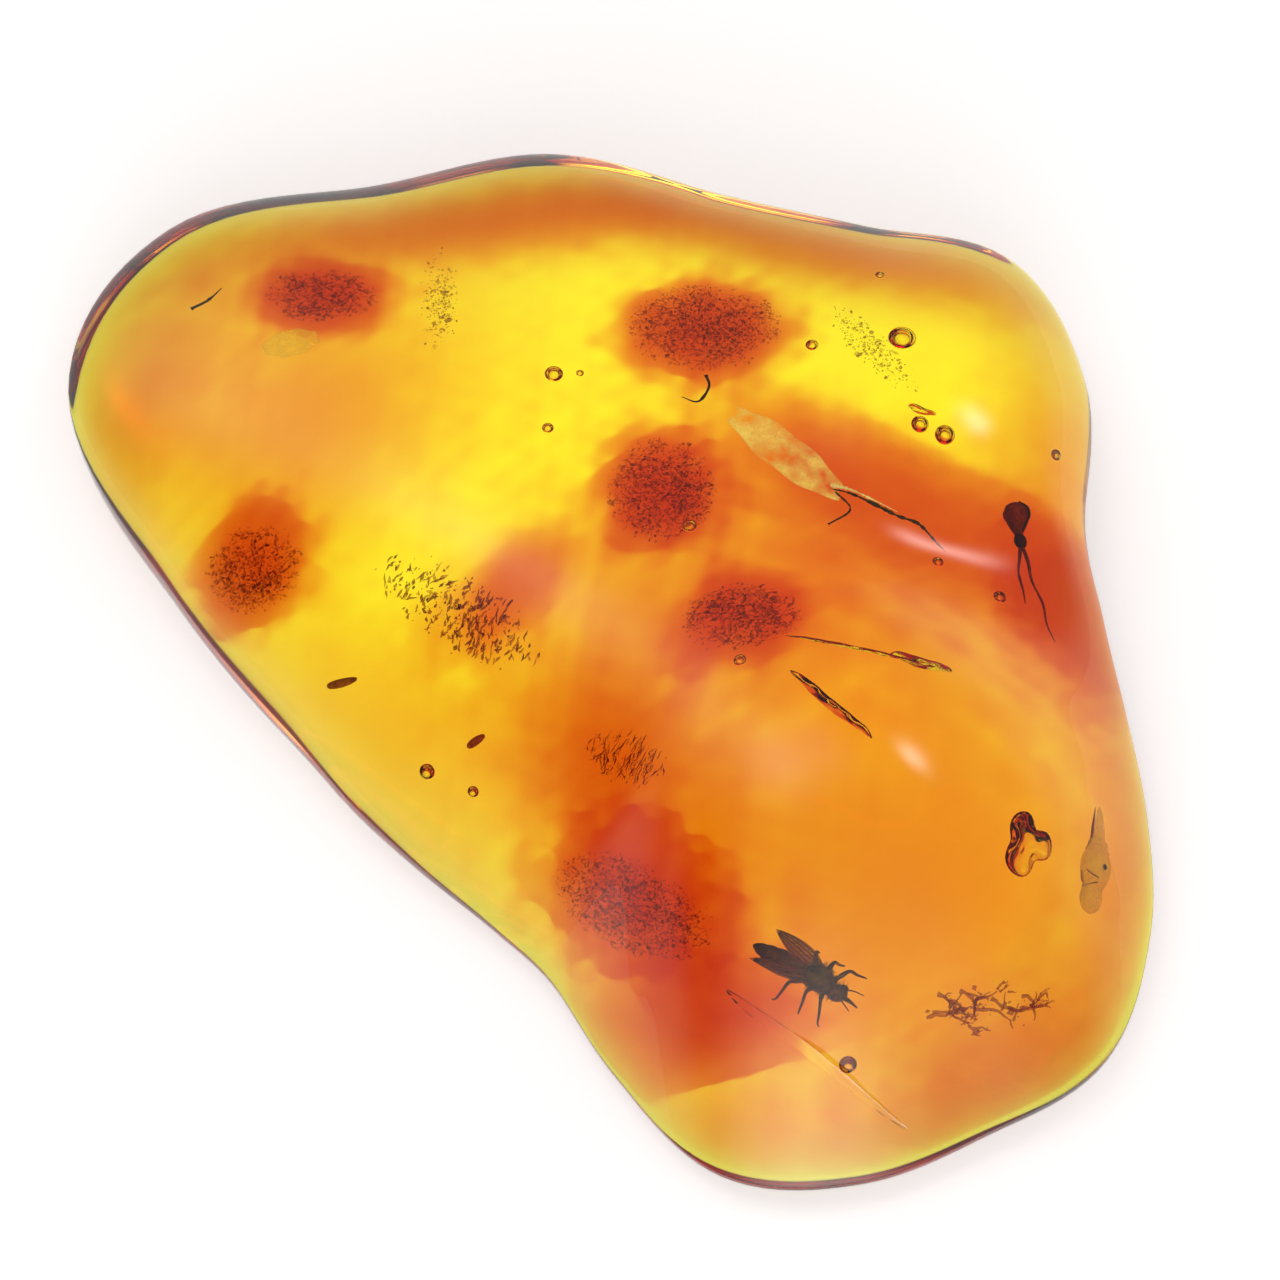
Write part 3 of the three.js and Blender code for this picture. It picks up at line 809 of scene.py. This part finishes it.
hair_black = dry_matter("plant_hair", HAIR_SHADES, (5000, 0.4, 0.7), (20000, 0.008), waves=5000)
for node, hair in HAIRS.items():
    path = smooth_path([(x, y, flow_height(x, y)) for x, y in hair["points"]], HAIR_STEPS)
    share = np.linspace(0, 1, HAIR_STEPS)
    knots = 1 + 0.5 * np.exp(-(((share - 0.55) / 0.06) ** 2)) + 0.4 * np.exp(-((share / 0.05) ** 2))
    body = strand(path, hair["radius"] * HAIR_GIRTH * knots * (1 - HAIR_TAPER * share**2), 10)
    make_piece(node, [(body, hair_black)], (node,))

# The insect: a small humped, bristly gnat with a beak, dark green-brown, lying head first towards
# the near edge; hard skin, ringed abdomen, brown see-through wings folded back along its sides.
INSECT_AT = (5.9, -10.6)
INSECT_TURN = -37
ABDOMEN = [
    (-1.5, 0, 0, 0.04, 0.04), (-1.35, 0, 0, 0.15, 0.14), (-1.0, 0, -0.01, 0.27, 0.25),
    (-0.55, 0, 0, 0.34, 0.32), (-0.1, 0, 0.03, 0.31, 0.3), (0.2, 0, 0.08, 0.2, 0.2),
]
ABDOMEN_RINGS = 7
THORAX = [
    (-0.02, 0.02, 0.08, 0.08, 0.08), (0.1, 0.02, 0.12, 0.26, 0.28), (0.35, 0.02, 0.17, 0.37, 0.38),
    (0.65, 0.02, 0.15, 0.35, 0.35), (0.9, 0.02, 0.06, 0.22, 0.22), (1.0, 0.02, 0.04, 0.08, 0.08),
]
HEAD_AT = np.array([1.1, 0.0, 0.02])
HEAD_HALF = (0.27, 0.26, 0.24)
EYE_AT = np.array([1.17, 0.19, 0.08])
EYE_HALF = (0.13, 0.1, 0.14)
BEAK = [(1.28, 0, -0.03), (1.5, 0.02, -0.1), (1.74, 0.0, -0.17)]
FEELER = [(1.2, 0.12, 0.08), (1.42, 0.22, 0.16), (1.72, 0.32, 0.05)]
WING_LENGTH = 1.75
WING_HALF_WIDTH = 0.28
WING_ROOT = (0.45, 0.22, 0.3)
WING_SWEEP = 12
WING_DROOP = 10
WING_CAMBER = 0.05
WING_THICKNESS = 0.012
WING_VEINS = (-0.75, -0.35, 0.05, 0.45, 0.8)
WING_VEIN_RADIUS = 0.018
WING_VEIN_LIFT = 0.01
WING_VEIN_INSET = 0.95
LEG_ROOTS = (0.75, 0.5, 0.25)
LEG_SWEEPS = (0.45, 0.05, -0.45)
LEG_JOINTS = [
    (0.0, 0.15, 0.0), (0.35, 0.42, 0.22), (0.6, 0.62, 0.3),
    (0.8, 0.8, -0.05), (0.95, 0.96, -0.32), (1.15, 1.0, -0.36),
]
LEG_GIRTHS = ([0, 0.2, 0.4, 0.5, 0.75, 1], [0.04, 0.075, 0.05, 0.045, 0.03, 0.015])
LEG_STEPS = 26
BRISTLES = 150
BRISTLE_GIRTHS = (0.012, 0.008, 0.003)
BRISTLE_LENGTHS = (0.1, 0.26)
BRISTLE_SINK = 0.92
NECK = 0.9
NECK_WIDTH = 0.22


def loft(stations, sides):
    """A body along X through oval rings: x, y and z of the middle, half width and half height."""
    turn = full_turn(sides)
    rings = [
        np.column_stack([np.full(sides, x), y + width * np.sin(turn), z + height * np.cos(turn)])
        for x, y, z, width, height in stations
    ]
    return closed_rings(rings[0].mean(0), rings, rings[-1].mean(0))


def ringed(stations, steps, folds, depth):
    """Stations smoothed along a body, drawn in at folds between its rings."""
    stations = smooth_path(stations, steps)
    plump = np.abs(np.sin(np.pi * np.linspace(0, folds, steps))) ** 0.4
    stations[:, 3:] *= (1 - depth * (1 - plump))[:, None]
    return stations


def turned(points, degrees, axis):
    """Points turned about the X or Z axis."""
    c = math.cos(math.radians(degrees))
    s = math.sin(math.radians(degrees))
    matrix = {"X": [[1, 0, 0], [0, c, -s], [0, s, c]], "Z": [[c, -s, 0], [s, c, 0], [0, 0, 1]]}[axis]
    return np.asarray(points) @ np.array(matrix).T


def settled(parts, at, turn, lift=0.0):
    """Pairs of body and material, turned in the plan and set down on the flow face."""
    place = np.array([*at, flow_height(*at) + lift])
    return [((turned(points, turn, "Z") + place, faces), finish) for (points, faces), finish in parts]


def wing_width(share):
    return WING_HALF_WIDTH * np.sin(np.pi * share**0.75) ** 0.8


def on_wing(points, side):
    """Points of a flat wing, swept back and drooped from its root."""
    points = turned(turned(points, side * WING_DROOP, "X"), -side * WING_SWEEP, "Z")
    return points + np.array([WING_ROOT[0], side * WING_ROOT[1], WING_ROOT[2]])


def wing_camber(share):
    return WING_CAMBER * np.sin(np.pi * share)


def insect_wing(side):
    """A thin cambered blade, and the veins that stiffen it."""
    share = np.linspace(0.995, 0.005, 40)
    level = np.zeros(40)
    sizes = [wing_width(share), level + WING_THICKNESS]
    blade = loft(np.column_stack([-WING_LENGTH * share, level, wing_camber(share), *sizes]), 24)
    veins = []
    for lane in WING_VEINS:
        line = np.linspace(0.02, 0.93, 24)
        aside = lane * wing_width(line) * WING_VEIN_INSET
        path = np.column_stack([-WING_LENGTH * line, aside, wing_camber(line) + WING_VEIN_LIFT])
        veins.append(strand(on_wing(path, side), WING_VEIN_RADIUS, 5))
    return (on_wing(blade[0], side), blade[1]), joined(veins)


def insect_leg(side, root, sweep):
    """Thigh, shin and foot, bent at the knee and thinning to the claw."""
    joints = [(root + sweep * share, side * aside, up) for share, aside, up in LEG_JOINTS]
    radii = np.interp(np.linspace(0, 1, LEG_STEPS), *LEG_GIRTHS)
    return strand(smooth_path(joints, LEG_STEPS), radii, 8)


def bristles(rng):
    """Stiff hairs that stand from the hump of the thorax and from the head, leaning back."""
    places, _, lifts, widths, _ = np.array(THORAX).T
    hairs = []
    for _ in range(BRISTLES):
        x = rng.uniform(0.1, 1.15)
        around = rng.uniform(-1.9, 1.9)
        width = np.interp(x, places, widths) if x < NECK else NECK_WIDTH
        lift = np.interp(x, places, lifts)
        out = np.array([rng.normal(-0.25, 0.2), math.sin(around), math.cos(around)])
        sunk = width * BRISTLE_SINK
        foot = np.array([x, 0.02 + sunk * math.sin(around), lift + sunk * math.cos(around)])
        tip = foot + out / np.linalg.norm(out) * rng.uniform(*BRISTLE_LENGTHS)
        sag = (foot + tip) / 2 + rng.normal(0, 0.015, 3)
        hairs.append(strand([foot, sag, tip], BRISTLE_GIRTHS, 4))
    return joined(hairs)


def chitin(name, dark, light, gloss):
    """Hard insect skin: mottled, finely pitted, with a dull to bright gloss."""
    material, tree, shader = new_material(name)
    mottle = noise(tree, 3500, 5.0)
    set_inputs(
        tree, shader, Base_Color=shaded(tree, mottle, [(0.35, dark), (0.68, light)]),
        Roughness=between(tree, mottle, 0.3, 0.7, gloss, gloss + 0.25),
        Normal=bumped(tree, noise(tree, 15000), 0.012),
    )
    return material


insect_skin = chitin("insect_skin", (0.03, 0.028, 0.006), (0.2, 0.14, 0.03), 0.3)
insect_eye = chitin("insect_eye", (0.04, 0.008, 0.004), (0.12, 0.03, 0.01), 0.15)
wing_skin = milky_skin("wing_skin", (0.5, 0.16, 0.02), 0.45, 0.85, (1, 5, 1))
abdomen = loft(ringed(ABDOMEN, 80, ABDOMEN_RINGS, 0.14), 32)
thorax = loft(smooth_path(THORAX, 48), 32)
head = ball(HEAD_AT, HEAD_HALF, 28)
beak = strand(smooth_path(BEAK, 14), np.linspace(0.08, 0.02, 14), 10)
insect_parts = [(body, insect_skin) for body in (abdomen, thorax, head, beak)]
insect_parts.append((bristles(np.random.default_rng(500)), insect_skin))
for side in (-1, 1):
    mirror = np.array([1, side, 1])
    insect_parts.append((ball(EYE_AT * mirror, EYE_HALF, 18), insect_eye))
    feeler = strand(smooth_path(np.array(FEELER) * mirror, 20), np.linspace(0.03, 0.015, 20), 6)
    blade, wing_veins = insect_wing(side)
    insect_parts += [(feeler, insect_skin), (blade, wing_skin), (wing_veins, insect_skin)]
    for root, sweep in zip(LEG_ROOTS, LEG_SWEEPS):
        insect_parts.append((insect_leg(side, root, sweep), insect_skin))
make_piece("insect", settled(insect_parts, INSECT_AT, INSECT_TURN), ("insect",))

# The larva: a soft pale grub by the right edge, yellow-green and half clear, with a thin tail,
# folds at its shoulders, a rounded head and one black breathing spot.
LARVA_AT = (13.9, -7.4)
LARVA_TURN = -92
LARVA_LIFT = -0.5
LARVA = [
    (-1.85, 0.05, 0, 0.03, 0.03), (-1.6, 0.05, 0, 0.12, 0.12), (-1.2, 0.05, 0, 0.19, 0.19),
    (-0.85, 0.04, 0, 0.23, 0.22), (-0.74, 0.03, 0, 0.33, 0.3), (-0.64, 0.03, 0, 0.37, 0.33),
    (-0.56, 0.02, 0, 0.36, 0.33), (-0.46, 0.02, 0, 0.44, 0.39), (-0.37, 0.01, 0, 0.42, 0.38),
    (-0.25, 0.0, 0, 0.5, 0.44), (0.05, 0.0, 0, 0.55, 0.48), (0.4, -0.02, 0, 0.49, 0.43),
    (0.66, -0.05, 0, 0.37, 0.34), (0.78, -0.08, 0, 0.37, 0.33), (1.05, -0.1, 0, 0.4, 0.36),
    (1.32, -0.1, 0, 0.31, 0.28), (1.46, -0.1, 0, 0.14, 0.13), (1.5, -0.1, 0, 0.03, 0.03),
]
LARVA_SPOT = np.array([0.1, 0.4, 0.24])
LARVA_SEAMS = [
    [(-1.8, -0.1, 0.05), (-1.2, -0.17, 0.08), (-0.8, -0.2, 0.1), (-0.45, -0.36, 0.12)],
    [(0.2, -0.5, 0.05), (0.45, -0.45, 0.06), (0.62, -0.4, 0.04)],
]
LARVA_FOLDS = [
    [(0.72, -0.42, 0.12), (0.7, -0.1, 0.3), (0.62, 0.2, 0.3)],
    [(0.3, -0.2, 0.42), (0.42, 0.0, 0.43), (0.5, 0.25, 0.36)],
]
LARVA_SHADES = [(0.3, (0.7, 0.55, 0.0)), (0.55, (0.95, 0.8, 0.01)), (0.75, (1.0, 0.88, 0.06))]
LARVA_GLOW = 0.22
LARVA_GLOW_COLOUR = (0.9, 0.78, 0.05, 1)


def grub_skin():
    """Soft half-clear skin. Its weak glow stands for the light that it scatters."""
    material, tree, shader = new_material("grub_skin")
    mottle = noise(tree, 1300, 4.0)
    set_inputs(
        tree, shader, Base_Color=shaded(tree, mottle, LARVA_SHADES),
        Alpha=between(tree, mottle, 0.3, 0.7, 0.3, 0.65),
        Roughness=between(tree, mottle, 0.3, 0.7, 0.3, 0.5),
        Emission_Color=LARVA_GLOW_COLOUR, Emission_Strength=LARVA_GLOW,
        Normal=bumped(tree, noise(tree, 8000), 0.015),
    )
    return material


seam_red = chitin("seam_red", (0.4, 0.05, 0.008), (0.7, 0.14, 0.015), 0.5)
fold_brown = chitin("fold_brown", (0.14, 0.06, 0.01), (0.3, 0.14, 0.02), 0.5)
larva_parts = [(loft(smooth_path(LARVA, 110), 36), grub_skin())]
larva_parts.append((ball(LARVA_SPOT, (0.1, 0.09, 0.1), 16), hair_black))
seam_radii = 0.05 * np.sin(np.linspace(0.3, 2.9, 24))
larva_parts += [(strand(smooth_path(seam, 24), seam_radii, 8), seam_red) for seam in LARVA_SEAMS]
larva_parts += [(strand(smooth_path(fold, 20), 0.02, 6), fold_brown) for fold in LARVA_FOLDS]
larva = settled(larva_parts, LARVA_AT, LARVA_TURN, LARVA_LIFT)
make_piece("pale_larva", larva, ("pale_larva",))

# Gnat remains: at the waist, what is left of a second gnat, a dark red wedge of body edged in black,
# a bead of head and two long legs trailing down the side of the lobe.
GNAT_AT = (12.0, 3.4)
GNAT_TURN = -78
GNAT_LIFT = -0.3
GNAT_BODY = [
    (-1.14, 0.1, 0, 0.06, 0.05), (-1.0, 0.1, 0, 0.29, 0.25), (-0.7, 0.12, 0, 0.41, 0.36),
    (-0.35, 0.1, 0, 0.29, 0.28), (0.0, 0.07, 0, 0.14, 0.14), (0.1, 0.07, 0, 0.06, 0.06),
]
GNAT_RINGS = 4
GNAT_BEAD = np.array([0.25, 0.08, 0.0])
GNAT_BEAD_HALF = (0.28, 0.19, 0.22)
GNAT_EDGE = [
    (-1.08, 0.25, 0.12), (-0.85, 0.48, 0.14), (-0.55, 0.5, 0.14), (-0.3, 0.36, 0.12), (-0.05, 0.2, 0.08),
]
GNAT_LEGS = [
    [(0.4, 0.06, 0.0), (0.9, -0.05, 0.1), (1.4, -0.2, 0.05), (2.0, -0.22, 0.0), (2.5, -0.28, 0.0)],
    [(0.4, 0.1, 0.0), (1.1, 0.18, 0.12), (1.75, 0.15, 0.1), (2.6, 0.3, 0.12), (3.3, 0.22, 0.05),
     (3.95, 0.3, 0.0)],
]
GNAT_LEG_RADIUS = 0.055
GNAT_LEG_GIRTHS = ([0, 0.15, 0.5, 0.55, 1], [1, 1.1, 0.6, 0.85, 0.3])
gnat_red = chitin("gnat_red", (0.2, 0.025, 0.008), (0.5, 0.07, 0.015), 0.35)
gnat_parts = [(loft(ringed(GNAT_BODY, 60, GNAT_RINGS, 0.1), 28), gnat_red)]
gnat_parts.append((ball(GNAT_BEAD, GNAT_BEAD_HALF, 24), hair_black))
gnat_parts.append((strand(smooth_path(GNAT_EDGE, 30), 0.035, 8), hair_black))
gnat_leg_radii = GNAT_LEG_RADIUS * np.interp(np.linspace(0, 1, 50), *GNAT_LEG_GIRTHS)
for leg in GNAT_LEGS:
    gnat_parts.append((strand(smooth_path(leg, 50), gnat_leg_radii, 8), gnat_red))
gnat = settled(gnat_parts, GNAT_AT, GNAT_TURN, GNAT_LIFT)
make_piece("gnat_remains", gnat, ("gnat_remains",))

# The fissure: a crack just under the polished top above the waist, its lips packed with black dirt
# and white splintered resin, with a milky sheet of crazed resin fanning out from its far end.
FISSURE = [(6.71, 3.38), (7.3, 3.27), (8.04, 2.97), (8.69, 2.69), (9.31, 2.53), (9.81, 2.05), (10.1, 1.77)]
FISSURE_BRANCH = [(6.86, 3.29), (7.29, 2.72), (6.64, 2.1)]
FISSURE_DEPTH = 0.2
FISSURE_STEPS = 60
DIRT_RADIUS = 0.07
BRANCH_RADIUS = 0.04
LIP_RADIUS = 0.08
LIP_ASIDE = 0.12
MILKY_MIDDLE = np.array([5.4, 4.7, 5.6])
MILKY_HALF = (2.3, 0.75, 0.1)
MILKY_TURN = -41
MILKY_WRINKLE = 0.08


def under_top(points, depth, aside=0.0):
    """A jagged line of places in the plan, moved aside and sunk below the polished top."""
    line = smooth_path(points, FISSURE_STEPS)
    line[:, 1] += aside
    return np.column_stack([line, top_height(line[:, 0], line[:, 1]) - depth])


rng = np.random.default_rng(600)
dirt_radii = DIRT_RADIUS * rng.uniform(0.4, 1.2, FISSURE_STEPS)
dirt_radii = dirt_radii * np.sin(np.linspace(0.2, 3.0, FISSURE_STEPS))
dirt = strand(under_top(FISSURE, FISSURE_DEPTH), dirt_radii, 8)
branch_radii = BRANCH_RADIUS * rng.uniform(0.5, 1.1, FISSURE_STEPS)
branch = strand(under_top(FISSURE_BRANCH, FISSURE_DEPTH), branch_radii, 6)
lip_radii = LIP_RADIUS * rng.uniform(0.3, 1.3, FISSURE_STEPS) * np.linspace(1, 0.1, FISSURE_STEPS)
lip = strand(under_top(FISSURE[:4], FISSURE_DEPTH * 0.9, LIP_ASIDE), lip_radii, 8)
# The splintered resin glows: painted light, for the light it scatters.
splintered = milky_skin("splintered_resin_painted_glow", (1.0, 0.88, 0.7), 0.4, 0.9, EVEN, 0.4)
make_piece("fissure", [(dirt, hair_black), (branch, hair_black), (lip, splintered)])
milky_axes = turned(np.eye(3), MILKY_TURN, "Z")
milky_sheet = film(MILKY_MIDDLE, milky_axes, MILKY_HALF, MILKY_WRINKLE)
# The crazed resin glows: painted light, for the light the milky sheet scatters.
crazed = milky_skin("crazed_resin_painted_glow", (1.0, 0.8, 0.5), 0.0, 0.6, EVEN, 0.5)
make_piece("milky_sheet", [(milky_sheet, crazed)])

# The stage floor: a plain pale sheet, far wider than the stone, which lies a hair's breadth below it.
# It is dull, and glows a little so that it stays pale and even out to its edges.
FLOOR_HALF = 3.0
FLOOR_DROP = 0.02 * MM
FLOOR_GLOW = 0.5
FLOOR_CORNERS = [(-1, -1), (1, -1), (1, 1), (-1, 1)]
floor_mesh = bpy.data.meshes.new("floor")
floor_mesh.from_pydata([(x * FLOOR_HALF, y * FLOOR_HALF, 0) for x, y in FLOOR_CORNERS], [], [(0, 1, 2, 3)])
floor = linked("floor", floor_mesh)
floor.location.z = -FLOOR_DROP
floor_white, floor_tree, floor_shader = new_material("floor_white")
set_inputs(
    floor_tree, floor_shader, Base_Color=(0.88, 0.87, 0.88, 1), Roughness=0.9, Specular_IOR_Level=0.1,
    Emission_Color=(1, 1, 1, 1), Emission_Strength=FLOOR_GLOW,
)
floor_white.cycles.emission_sampling = "NONE"
floor_mesh.materials.append(floor_white)

# The light pad: part of the stage, a thin sheet under the stone that glows white and fades to the edge.
# It stands for the bright ground that lights the clear stone from below.
PAD_GLOW = [(0.6, 1.14), (0.8, 1.08), (0.9, 0.92), (0.97, 0.7)]
pad_rings = [np.column_stack([*plan_ring(share), np.zeros(AROUND)]) for share, _ in PAD_GLOW]
pad_points = np.concatenate(pad_rings)
pad_faces = [tuple(range(AROUND)), *ring_faces(len(PAD_GLOW), AROUND, 0)]
pad_mesh = bpy.data.meshes.new("light_pad")
pad_mesh.from_pydata((pad_points * MM).tolist(), [], pad_faces)
pad_glow = np.repeat([[glow, glow, glow, 1] for _, glow in PAD_GLOW], AROUND, axis=0)
pad_mesh.color_attributes.new("glow", "FLOAT_COLOR", "POINT").data.foreach_set("color", pad_glow.ravel())
pad = linked("light_pad", pad_mesh)
pad.location.z = -FLOOR_DROP / 2
pad_white, pad_tree, pad_shader = new_material("pad_white")
glow_here = pad_tree.nodes.new("ShaderNodeVertexColor")
glow_here.layer_name = "glow"
set_inputs(
    pad_tree, pad_shader, Base_Color=(0, 0, 0, 1), Specular_IOR_Level=0.0,
    Emission_Color=glow_here.outputs["Color"], Emission_Strength=1.0,
)
pad_white.cycles.emission_sampling = "NONE"
pad_mesh.materials.append(pad_white)

# The sky: a pale dome, dimmer overhead, with a low soft lamp in front, three weak or small ones
# for the gloss of the polish, and a darker part on the left, whose strength is below nought.
HORIZON = 0.95
ZENITH = 0.33
HORIZON_DEPTH = 0.3
SKY_COLOUR = (1.0, 0.93, 0.89, 1)
LAMPS = [
    dict(towards=(-0.21, 0.22, 0.95), spread=0.025, strength=1.7),
    dict(towards=(0.57, 0.44, 0.69), spread=0.004, strength=6.0),
    dict(towards=(0.0, -0.98, 0.18), spread=0.1, strength=5.0),
    dict(towards=(-0.6, 0.5, 0.62), spread=0.06, strength=0.8),
    dict(towards=(-0.85, -0.15, 0.5), spread=0.1, strength=-0.3),
]
world = bpy.data.worlds.new("studio")
bpy.context.scene.world = world
world.use_nodes = True
world.cycles.sampling_method = "NONE"
sky = world.node_tree
direction = sky.nodes.new("ShaderNodeTexCoord").outputs["Generated"]


def sky_math(operation, first, second):
    node = sky.nodes.new("ShaderNodeMath")
    node.operation = operation
    for socket, value in zip(node.inputs, (first, second)):
        if isinstance(value, (int, float)):
            socket.default_value = value
        else:
            sky.links.new(value, socket)
    return node.outputs["Value"]


height = node_of(sky, "ShaderNodeSeparateXYZ", Vector=direction).outputs["Z"]
dome = sky.nodes.new("ShaderNodeMapRange")
dome.interpolation_type = "SMOOTHSTEP"
set_inputs(sky, dome, Value=height, From_Min=0.0, From_Max=HORIZON_DEPTH, To_Min=HORIZON, To_Max=ZENITH)
brightness = dome.outputs["Result"]
for lamp in LAMPS:
    facing = sky.nodes.new("ShaderNodeVectorMath")
    facing.operation = "DOT_PRODUCT"
    facing.inputs[1].default_value = Vector(lamp["towards"]).normalized()
    sky.links.new(direction, facing.inputs[0])
    off = sky_math("DIVIDE", sky_math("SUBTRACT", facing.outputs["Value"], 1.0), lamp["spread"])
    glow = sky_math("MULTIPLY", sky_math("POWER", math.e, off), lamp["strength"])
    brightness = sky_math("ADD", brightness, glow)
set_inputs(sky, sky.nodes["Background"], Strength=brightness, Color=SKY_COLOUR)

# The camera: a long lens at the photograph's angle, from in front and well above,
# with enough bounces for light to pass through the stone and its hollows.
TARGET = (1.1, -1.2, 5.0)
DISTANCE = 300.0
ELEVATION = math.radians(60)
PIXELS_PER_MM = 34.0
IMAGE_SIDE = 1280
SENSOR = 36.0
camera_data = bpy.data.cameras.new("camera")
camera_data.sensor_width = SENSOR
camera_data.lens = SENSOR * PIXELS_PER_MM * DISTANCE / IMAGE_SIDE
camera = linked("camera", camera_data)
camera.location = (TARGET + DISTANCE * np.array([0, -math.cos(ELEVATION), math.sin(ELEVATION)])) * MM
camera.rotation_euler = (math.pi / 2 - ELEVATION, 0, 0)
scene = bpy.context.scene
scene.camera = camera
scene.view_settings.view_transform = "Standard"
scene.cycles.max_bounces = 14
scene.cycles.diffuse_bounces = 1
scene.cycles.transmission_bounces = 14
scene.cycles.transparent_max_bounces = 16
scene.cycles.caustics_reflective = False
